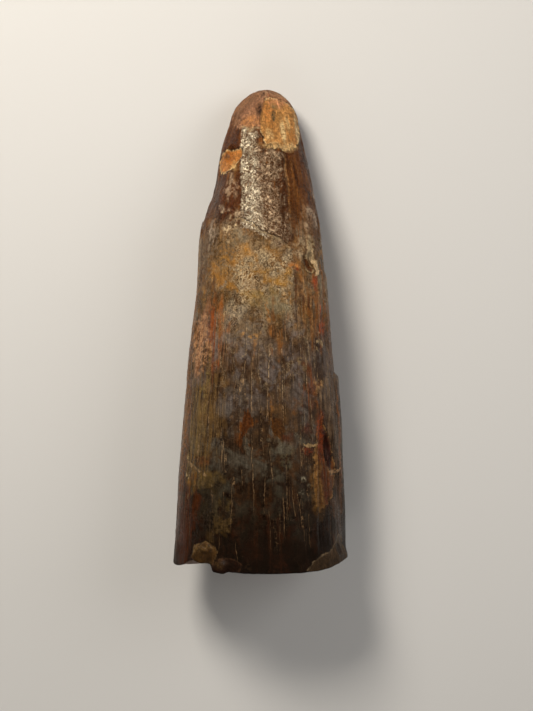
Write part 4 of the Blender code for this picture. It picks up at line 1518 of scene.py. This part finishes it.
class CrownLayers(Wiring):
    """The crown's layers of colour and relief in one material, over patterns that they share."""

    def __init__(self, finish: "CrownFinish", tree: NodeTree, groups: CrownGroups) -> None:
        """Adds every shared pattern once.

        Args:
            finish: The finish, for its colours.
            tree: The material's node tree.
            groups: The shared node groups.
        """
        super().__init__(tree)
        self.finish = finish
        self.groups = groups
        map_node = self.node("ShaderNodeUVMap", uv_map=groups.tooth_mesh.map_name)
        spot = groups.place.use(self, {"Map": map_node.outputs[0]}).outputs
        self.angle = spot["Angle"]
        self.distance = spot["Distance"]
        self.lengthwise = spot["Lengthwise"]
        place = self.millimetres()
        self.broad_streak = self.noise(self.scaled(self.lengthwise, (5.0, 5.0, 0.1)), 1.0, 4.0, 0.6)
        self.streak = self.noise(self.scaled(self.lengthwise, (15.0, 15.0, 0.22)), 1.0, 3.0, 0.6)
        self.fine_streak = self.noise(self.scaled(self.lengthwise, (44.0, 44.0, 0.6)), 1.0, 2.0, 0.6)
        self.cloud = self.noise(place, 1.2, 5.0, 0.62)
        self.blotch = self.noise(self.scaled(place, (1.0, 0.72, 1.0)), 2.0, 4.0, 0.58)
        self.wisp = self.noise(self.scaled(place, (1.0, 0.8, 1.0)), 1.35, 5.0, 0.6, 1.3)
        self.speck = self.noise(place, 0.3, 3.0, 0.62)
        self.grain = self.noise(place, 0.13, 2.0, 0.6)
        settings = {"Vector": place, "Scale": 1.15, "Detail": 4.0, "Roughness": 0.62}
        warp = self.node("ShaderNodeTexNoise", settings)
        split = self.node("ShaderNodeSeparateColor", {0: warp.outputs["Color"]}).outputs
        self.stray = self.centred(split[0])
        self.wander = self.centred(self.noise(place, 0.3, 3.0, 0.65))
        self.bent_distance = self.add(self.distance, self.centred(split[1]), 1.1)
        net = self.groups.net.use(self, {"Place": place}).outputs
        self.crest = net["Crest"]
        self.gap = net["Gap"]
        craze = self.groups.crazing.use(self, {"Lengthwise": self.lengthwise, "Place": place}).outputs
        self.craze = craze["Line"]
        self.cell = craze["Cell"]

    def band(self, value: object, rise: Pair, fall: Pair) -> object:
        """Is 1 between a rise and a fall of a value, and 0 outside them."""
        return self.share(self.fit(value, *rise), self.fit(value, fall[1], fall[0]))

    def share(self, *factors: object) -> object:
        """Multiplies shares and masks into one."""
        total = factors[0]
        for factor in factors[1:]:
            total = self.math("MULTIPLY", total, factor)
        return total

    def cover(self, colour: object, tint: Colour, *shares: object) -> object:
        """Lays one of the finish's colours over a colour, as far as all the shares let it."""
        return self.mix(self.share(*shares), colour, linear(tint))

    def attribute(self, name: str) -> Node:
        """Reads one of the mesh's attributes."""
        return self.node("ShaderNodeAttribute", attribute_name=name, attribute_type="GEOMETRY")

    def vector_parts(self, name: str) -> list[NodeSocket]:
        """Reads the three numbers of one of the mesh's vector attributes."""
        vector = self.attribute(name).outputs["Vector"]
        return list(self.node("ShaderNodeSeparateXYZ", {0: vector}).outputs)

    def lay_layer(self, colour: object, name: str, pattern: object) -> object:
        """Lays one of the painted layers over a colour.

        Args:
            colour: The colour so far.
            name: The layer's name.
            pattern: How much of the layer shows at each place.

        Returns:
            The colour with the layer.
        """
        layer = self.attribute(name).outputs
        kept = self.math("SUBTRACT", 1.0, self.share(layer["Alpha"], pattern))
        under = self.vector("SCALE", {0: colour, "Scale": kept})
        over = self.vector("SCALE", {0: layer["Color"], "Scale": pattern})
        return self.vector("ADD", {0: under, 1: over})

    def zone_ramp(self, place: object, column: str) -> object:
        """One of the zones' colours along the crown.

        Args:
            place: The distance, with its zones' borders already straying.
            column: Which colour of a zone to read.

        Returns:
            The colour.
        """
        length = self.finish.zones[-1].distance
        made = self.node("ShaderNodeValToRGB", {"Fac": self.math("DIVIDE", place, length)})
        ramp_stops = made.color_ramp.elements
        for stop, zone in ((ramp_stops[0], self.finish.zones[0]), (ramp_stops[1], self.finish.zones[-1])):
            stop.position = zone.distance / length
            stop.color = linear(getattr(zone, column))
        for zone in self.finish.zones[1:-1]:
            ramp_stops.new(zone.distance / length).color = linear(getattr(zone, column))
        return made.outputs["Color"]

    def ground_colour(self) -> object:
        """The stained ground with its streaks and clouds."""
        stray = self.centred(self.blotch)
        place = self.add(self.distance, stray, 4.0)
        place = self.add(place, self.centred(self.streak), 3.0)
        colour = self.zone_ramp(place, "ground")
        haze = self.zone_ramp(place, "haze")
        dark = self.zone_ramp(place, "dark")
        pale = self.zone_ramp(place, "pale")
        both = self.half_each(self.broad_streak, self.streak)
        middle = self.band(self.angle, (48.0, 66.0), (112.0, 132.0))
        calm = self.share(self.band(self.distance, (10.0, 12.5), (17.0, 22.0)), middle)
        streaked = self.add(1.0, calm, -0.8)
        tints = (
            (self.share(self.fit(both, 0.51, 0.4, 0.0, 0.92), streaked), dark),
            (self.share(self.fit(both, 0.52, 0.62, 0.0, 0.8), streaked), pale),
            (self.fit(self.cloud, 0.47, 0.36, 0.0, 0.7), dark),
            (self.fit(self.cloud, 0.55, 0.68, 0.0, 0.65), pale),
            (self.fit(self.cell, 0.72, 0.95, 0.0, 0.3), dark),
            (self.fit(self.cell, 0.28, 0.05, 0.0, 0.25), pale),
        )
        for share, tint in tints:
            colour = self.mix(share, colour, tint)
        clouded = self.share(self.fit(self.blotch, 0.36, 0.52), self.fit(self.wisp, 0.44, 0.6, 0.08, 1.0))
        shown = self.band(self.distance, (9.0, 12.5), (34.5, 37.5))
        return self.mix(self.share(clouded, shown, 0.92), colour, haze)

    def lay_crazing(self, colour: object) -> object:
        """Draws the fine net of cracks: partly filled pale, partly open and dark."""
        zone = self.band(self.distance, (9.5, 12.5), (21.0, 27.0))
        filled = self.fit(self.cloud, 0.45, 0.58)
        share = self.share(self.craze, zone, filled)
        colour = self.cover(colour, self.finish.craze_fill_and_crest_glint, share, 0.5)
        lower = self.fit(self.distance, 15.0, 21.0, 0.15, 0.6)
        open_share = self.share(self.craze, self.fit(self.cloud, 0.5, 0.4), lower)
        colour = self.cover(colour, self.finish.craze_dark, open_share)
        mottled = self.band(self.distance, (10.5, 13.0), (16.0, 21.5))
        golden = self.share(self.fit(self.cloud, 0.48, 0.6), mottled, self.fit(self.wisp, 0.56, 0.44))
        colour = self.cover(colour, self.finish.mottle_gold, golden, 0.75)
        middle = self.fit(self.off(self.angle, 96.0), 44.0, 26.0, 0.25, 1.0)
        clustered = self.share(self.fit(self.blotch, 0.42, 0.6, 0.2, 0.9), middle)
        shadowed = self.share(self.fit(self.blotch, 0.46, 0.36), mottled, 0.55)
        colour = self.cover(colour, self.finish.mottle_olive, shadowed)
        # Pale crests on the wrinkles of the mottled zone: partly their own pale colour, partly painted
        # highlight.
        colour = self.cover(colour, self.finish.craze_fill_and_crest_glint, self.crest, mottled, clustered)
        return self.cover(colour, self.finish.craze_dark, self.gap, mottled, 0.5)

    def lay_frost_glint(self, colour: object) -> tuple[object, object]:
        """Lays the frosted wrinkles of the upper crown: pale crests that are partly frosting and partly
        painted highlight, brightest by their straight left side, where the painted highlight is strongest.

        Args:
            colour: The colour so far.

        Returns:
            The colour, and the mask of the frost with its painted highlight.
        """
        outline, middle, _ = self.vector_parts("frost_glint")
        glint_core = self.add(middle, self.stray, 1.2)
        # Painted highlight: the frost's ground and crests brighten towards the core, where the light's
        # reflection falls.
        bright = self.fit(glint_core, -0.35, 0.45)
        loose = self.share(self.stray, self.fit(glint_core, 0.3, -0.4, 0.3, 2.6))
        strayed = self.add(self.math("ADD", outline, loose), self.wander, 0.6)
        frost_glint = self.fit(strayed, -0.08, self.fit(glint_core, 0.3, -0.4, 0.14, 0.4))
        pale = self.mix(bright, linear(self.finish.frost_glint_dim), linear(self.finish.frost_glint_bright))
        ground = self.mix(bright, linear(self.finish.frost_ground_dim), linear(self.finish.frost_ground_glint))
        colour = self.mix(self.share(frost_glint, 0.9), colour, ground)
        amount = self.fit(self.cloud, 0.3, 0.52, 0.5, 1.0)
        colour = self.mix(self.share(frost_glint, self.crest, amount), colour, pale)
        colour = self.cover(colour, self.finish.frost_gap, frost_glint, self.gap, 0.75)
        return colour, frost_glint

    def lay_marks(self, colour: object) -> object:
        """Lays the painted stains, fibres, specks, chips and glazes over a colour.

        Args:
            colour: The colour so far.

        Returns:
            The colour with its marks.
        """
        both = self.half_each(self.fine_streak, self.streak)
        colour = self.lay_layer(colour, "stain", self.fit(self.cloud, 0.36, 0.58, 0.5, 1.0))
        colour = self.lay_layer(colour, "fibres", self.fit(both, 0.43, 0.55, 0.12, 1.0))
        colour = self.lay_layer(colour, "specks", self.fit(self.speck, 0.44, 0.56, 0.05, 1.0))
        chip = self.attribute("chip").outputs
        rim = self.attribute("chip_rim").outputs
        inside = self.add(chip["Alpha"], self.wander, 0.42)
        patchy = self.fit(self.speck, 0.38, 0.58, 0.15, 1.0)
        # Painted shade: a dark line just outside a rimmed chip's border, where its step would cast shade.
        shade = self.share(self.band(inside, (-0.2, -0.12), (-0.02, 0.02)), rim["Alpha"], 0.65)
        # The pale lip just inside a rimmed chip's border: partly the broken edge's own colour, partly painted
        # edge highlight.
        lip = self.share(self.band(inside, (-0.1, -0.05), (0.03, 0.1)), rim["Alpha"], patchy, 0.9)
        texture = self.fit(self.speck, 0.3, 0.7, 0.76, 1.24)
        texture = self.share(texture, self.fit(self.crest, 0.0, 1.0, 0.92, 1.16))
        stone = self.vector("SCALE", {0: chip["Color"], "Scale": texture})
        colour = self.cover(colour, self.finish.painted_edge_shade, shade)
        colour = self.mix(self.fit(inside, -0.03, 0.03), colour, stone)
        colour = self.mix(lip, colour, rim["Color"])
        return self.lay_layer(colour, "glaze", self.fit(self.speck, 0.4, 0.58, 0.35, 1.0))

    def lay_layer_edge(self, colour: object) -> object:
        """Draws the outer layer's broken edge: a dark line of painted shadow with a pale lip below it."""
        start = self.curve(self.angle, self.groups.surface.layer_line, LAYER_LINE_TOP)
        past = self.math("SUBTRACT", self.bent_distance, start)
        shown = self.fit(self.off(self.angle, 92.0), 36.0, 14.0)
        shadow = self.share(self.band(past, (-0.14, -0.03), (0.0, 0.08)), shown, 0.85)
        lip = self.share(self.band(past, (0.02, 0.1), (0.14, 0.36)), shown, 0.5)
        colour = self.cover(colour, self.finish.layer_shadow, shadow)
        return self.cover(colour, self.finish.layer_lip, lip)

    def lay_cracks(self, colour: object) -> tuple[object, object]:
        """Draws the fine lengthwise cracks, each pale with a painted shade along one side.

        Args:
            colour: The colour so far.

        Returns:
            The colour, and the mask of the cracks.
        """
        crack = self.vector_parts("crack")
        side = self.add(crack[0], self.wander, 0.22)
        width = self.share(self.fit(self.cloud, 0.35, 0.65, 0.034, 0.05), crack[1])
        near = self.fit(crack[2], 0.2, 0.13)
        line = self.share(self.fit(self.math("ABSOLUTE", side), width, 0.0), near)
        beside = self.off(side, width)
        # Painted shade: a dark line along one side of each crack, standing in for its relief.
        shade = self.share(self.fit(beside, self.share(width, 2.2), 0.0), near)
        gaps = self.fit(self.speck, 0.38, 0.56, 0.45, 0.95)
        force = self.fit(crack[1], 0.0, 1.0)
        dim = self.curve(self.distance, self.finish.crack_fade)
        tint = self.share(dim, self.fit(self.blotch, 0.36, 0.56, 0.45, 1.0))
        pale = self.mix(tint, linear(self.finish.crack_dim), linear(self.finish.crack_pale))
        shaded = self.fit(self.distance, 16.0, 22.0, 0.1, 0.5)
        colour = self.cover(colour, self.finish.painted_edge_shade, shade, shaded)
        return self.mix(self.share(line, gaps, force, 0.95), colour, pale), line

    def lay_light(self, colour: object) -> object:
        """Adds the fine grain's light and dark, and darkens the whole crown towards the base as painted shade
        where the light falls off.
        """
        shade = self.fit(self.grain, 0.25, 0.75, 0.76, 1.24)
        shade = self.share(shade, self.fit(self.speck, 0.25, 0.75, 0.82, 1.18))
        wave = self.centred(self.fine_streak)
        swing = self.fit(self.distance, 15.0, 22.0, 0.35, 1.5)
        side = self.fit(self.off(self.angle, 95.0), 22.0, 45.0, 0.0, 1.2)
        swing = self.math("MAXIMUM", swing, side)
        shade = self.share(shade, self.add(1.0, wave, swing))
        # Painted shade: the colour is dimmed from the tip to the base, standing in for the light's falloff.
        gain = self.curve(self.distance, self.finish.painted_light_falloff, PAINTED_FALLOFF_TOP)
        light = self.share(shade, gain)
        grey = self.node("ShaderNodeCombineXYZ", {0: light, 1: light, 2: light}).outputs[0]
        return self.vector("MULTIPLY", {0: colour, 1: grey})

    def set_surface(self, shader: Node, frost_glint: object, cracks: object) -> None:
        """Sets the gloss and the fine relief.

        Args:
            shader: The material's shader.
            frost_glint: The mask of the frosted wrinkles with their painted highlight.
            cracks: The mask of the cracks.
        """
        tip = self.fit(self.distance, 4.6, 3.2)
        rough = self.fit(self.cloud, 0.35, 0.65, 0.22, 0.38)
        rough = self.add(rough, tip, 0.25)
        rough = self.math("ADD", rough, self.fit(self.distance, 34.5, 36.5, 0.0, 0.25))
        self.put(shader, "Roughness", rough)
        shader.inputs["Coat Weight"].default_value = self.finish.coat
        shader.inputs["Coat Roughness"].default_value = self.finish.coat_roughness
        shader.inputs["Specular IOR Level"].default_value = self.finish.shine
        shader.inputs["Specular Tint"].default_value = self.finish.gloss_tint
        height = self.share(self.crest, frost_glint, 0.6)
        reliefs = (
            (cracks, -0.7),
            (self.craze, -0.45),
            (self.fine_streak, 0.55),
            (self.grain, 0.45),
            (self.speck, 0.6),
            (self.crest, 0.22),
        )
        for relief, amount in reliefs:
            height = self.add(height, relief, amount)
        height = self.share(height, self.fit(self.distance, 12.0, 22.0, 1.0, 0.35))
        self.put_bump(shader, height, self.finish.bump_metres)


@dataclass(frozen=True)
class CrownFinish:
    """The crown's finish: stained enamel and dentine with cracks, frosted wrinkles and marks, with painted
    highlights and painted shade.
    """

    name: str = "fossil_crown"
    # The zones darken towards the base: partly the crown's own staining, partly painted shade where the light
    # falls off.
    zones: tuple[Zone, ...] = (
        Zone(0, (142, 101, 70), (96, 56, 34), (186, 142, 104), (160, 120, 90)),
        Zone(2.8, (132, 88, 56), (82, 44, 24), (176, 132, 92), (140, 104, 78)),
        Zone(3.9, (88, 44, 14), (44, 18, 4), (142, 90, 44), (120, 92, 68)),
        Zone(9.5, (86, 44, 13), (44, 18, 4), (126, 78, 32), (112, 90, 70)),
        Zone(12.2, (108, 72, 36), (58, 33, 12), (160, 120, 68), (134, 114, 88)),
        Zone(17, (110, 77, 40), (60, 35, 13), (162, 120, 68), (130, 116, 92)),
        Zone(19.5, (92, 66, 42), (50, 28, 11), (138, 100, 62), (117, 104, 95)),
        Zone(24, (73, 52, 34), (40, 22, 10), (114, 83, 49), (108, 97, 91)),
        Zone(28.5, (58, 38, 20), (30, 14, 5), (92, 60, 30), (96, 88, 74)),
        Zone(31.5, (40, 22, 9), (22, 9, 3), (70, 42, 18), (72, 65, 52)),
        Zone(34, (28, 11, 4), (14, 5, 2), (66, 32, 12), (44, 35, 24)),
        Zone(38, (18, 5, 2), (8, 3, 1), (58, 26, 10), (26, 14, 8)),
    )
    # Painted shade: a brightness that multiplies the whole crown's colour, falling from the tip to the base
    # where the light falls off.
    painted_light_falloff: Curve = ((0, 1.04), (9.5, 1.04), (14, 1.02), (19, 0.82), (28.5, 0.66), (38, 0.4))
    crack_fade: Curve = ((0, 1), (20, 0.8), (27, 0.52), (31, 0.4), (35, 0.28), (38, 0.2))
    # Frost colours: crests and ground go from dim to bright towards the core as painted highlight over the
    # pale frosting.
    frost_glint_bright: Colour = (252, 234, 200)
    frost_glint_dim: Colour = (194, 164, 130)
    frost_ground_glint: Colour = (148, 122, 92)
    frost_ground_dim: Colour = (98, 68, 44)
    frost_gap: Colour = (62, 38, 22)
    mottle_gold: Colour = (152, 102, 36)
    mottle_olive: Colour = (78, 56, 26)
    # Pale colour of filled crazing, also laid on the wrinkles' crests as partly painted highlight.
    craze_fill_and_crest_glint: Colour = (200, 174, 134)
    craze_dark: Colour = (60, 38, 18)
    crack_pale: Colour = (196, 168, 130)
    crack_dim: Colour = (146, 106, 66)
    # Dark colour of the painted shade beside cracks and round rimmed chips.
    painted_edge_shade: Colour = (30, 16, 8)
    layer_lip: Colour = (186, 160, 118)
    layer_shadow: Colour = (48, 30, 18)
    coat: float = 0.03
    coat_roughness: float = 0.2
    shine: float = 0.15
    gloss_tint: tuple[float, float, float, float] = (1.0, 0.66, 0.42, 1.0)
    bump_metres: float = 0.00011

    def dress(self, groups: CrownGroups) -> Material:
        """Builds the material.

        Args:
            groups: The shared node groups.

        Returns:
            The finished material.
        """
        material, shader = new_material(self.name)
        layers = CrownLayers(self, material.node_tree, groups)
        colour = layers.ground_colour()
        colour = layers.lay_crazing(colour)
        colour, frost_glint = layers.lay_frost_glint(colour)
        colour = layers.lay_marks(colour)
        colour = layers.lay_layer_edge(colour)
        colour, cracks = layers.lay_cracks(colour)
        layers.put(shader, "Base Color", layers.lay_light(colour))
        layers.set_surface(shader, frost_glint, cracks)
        return material


@dataclass(frozen=True)
class BreakFinish:
    """The broken base: dark mineral-filled dentine with a rough, dull grain."""

    name: str = "broken_base"
    dark: Colour = (62, 40, 26)
    warm: Colour = (96, 64, 40)
    pale: Colour = (132, 102, 70)
    bump_metres: float = 0.00016

    def dress(self) -> Material:
        """Builds the material."""
        material, shader = new_material(self.name)
        wiring = Wiring(material.node_tree)
        place = wiring.millimetres()
        patches = wiring.noise(place, 1.5, 6.0, 0.68)
        grain = wiring.noise(place, 0.35, 4.0, 0.65)
        colour = wiring.mix(wiring.fit(patches, 0.38, 0.62), linear(self.dark), linear(self.warm))
        flecks = wiring.math("MULTIPLY", wiring.fit(grain, 0.5, 0.75), 0.45)
        colour = wiring.mix(flecks, colour, linear(self.pale))
        wiring.put(shader, "Base Color", colour)
        wiring.put(shader, "Roughness", wiring.fit(grain, 0.3, 0.7, 0.78, 0.55))
        wiring.put_bump(shader, grain, self.bump_metres)
        return material


@dataclass
class Tooth:
    """The one piece: its mesh, its finishes and its place in the frame."""

    mesh: ToothMesh = field(default_factory=ToothMesh)
    crown: CrownFinish = field(default_factory=CrownFinish)
    broken: BreakFinish = field(default_factory=BreakFinish)

    def build(self) -> Object:
        """Builds and dresses the tooth, and puts it in place of its solid."""
        tooth, skin = self.mesh.build()
        groups = CrownGroups(self.mesh.surface, self.mesh)
        tooth.data.materials.append(self.crown.dress(groups))
        tooth.data.materials.append(self.broken.dress())
        self.mark_break(tooth.data, skin)
        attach(tooth, "root")
        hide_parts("tooth")
        return tooth

    def mark_break(self, mesh: Mesh, skin: Skin) -> None:
        """Gives the faces of the broken base their own finish."""
        corners, starts = face_corners(mesh)
        touching = np.logical_or.reduceat(skin.on_break[corners], starts)
        mesh.polygons.foreach_set("material_index", touching.astype(np.int32))


@dataclass
class Studio:
    """A plain pale floor, soft lights and the camera that looks straight down."""

    view: PhotoView = field(default_factory=PhotoView)
    floor_half: float = 1.2
    floor_colour: Colour = (214, 212, 208)
    world_colour: Colour = (255, 252, 246)
    world_strength: float = 0.08

    def build(self) -> None:
        """Makes the floor, the lights, the world and the camera."""
        self.build_floor()
        self.build_light("key_light", (-44.0, 74.0, 92.0), 42.0, 0.15, (255, 248, 238))
        self.build_light("fill_light", (120.0, 40.0, 100.0), 100.0, 0.085, (250, 248, 248))
        self.build_light("back_light", (-40.0, -190.0, 120.0), 140.0, 0.1, (250, 248, 246))
        self.build_world()
        self.build_camera()
        bpy.context.scene.view_settings.view_transform = "Standard"

    def build_floor(self) -> None:
        """Makes the floor as one large plane."""
        shape = bmesh.new()
        bmesh.ops.create_grid(shape, x_segments=1, y_segments=1, size=self.floor_half)
        mesh = bpy.data.meshes.new("floor")
        shape.to_mesh(mesh)
        shape.free()
        material, shader = new_material("floor_paper")
        shader.inputs["Base Color"].default_value = linear(self.floor_colour)
        shader.inputs["Roughness"].default_value = 0.9
        mesh.materials.append(material)
        floor = add_object("floor", mesh)

    def build_light(self, name: str, place: tuple[float, float, float], size: float, power: float,
                    colour: Colour) -> None:
        """Makes a soft square light that faces the tooth.

        Args:
            name: The light's name.
            place: Its place in millimetres.
            size: The length of its side in millimetres.
            power: Its power in watts.
            colour: Its colour.
        """
        lamp = bpy.data.lights.new(name, "AREA")
        lamp.size = size * METRES_PER_MM
        lamp.energy = power
        lamp.color = linear(colour)[:3]
        light = add_object(name, lamp)
        at = Vector(place) * METRES_PER_MM
        light.location = at
        light.rotation_euler = (-at).to_track_quat("-Z", "Y").to_euler()

    def build_world(self) -> None:
        """Fills the room with an even pale light."""
        world = bpy.data.worlds.new("room")
        world.use_nodes = True
        background = world.node_tree.nodes["Background"]
        background.inputs["Color"].default_value = linear(self.world_colour)
        background.inputs["Strength"].default_value = self.world_strength
        bpy.context.scene.world = world

    def build_camera(self) -> None:
        """Hangs the camera over the tooth, with the tip at the top of the picture."""
        data = bpy.data.cameras.new("camera")
        data.lens = self.view.lens
        data.sensor_width = self.view.sensor
        data.clip_start = 0.001
        camera = add_object("camera", data)
        height = self.view.camera_height()
        camera.location = Vector((self.view.aim_x, self.view.aim_y, height)) * METRES_PER_MM
        bpy.context.scene.camera = camera


def main() -> None:
    """Builds the tooth and its studio, and reports each piece."""
    logging.basicConfig(level=logging.INFO)
    tooth = Tooth().build()
    LOG.info("%s: %d faces, %d materials", tooth.name, len(tooth.data.polygons), len(tooth.data.materials))
    Studio().build()
    LOG.info("studio: floor, %d lights and camera", len(bpy.data.lights))


if __name__ == "__main__":
    main()
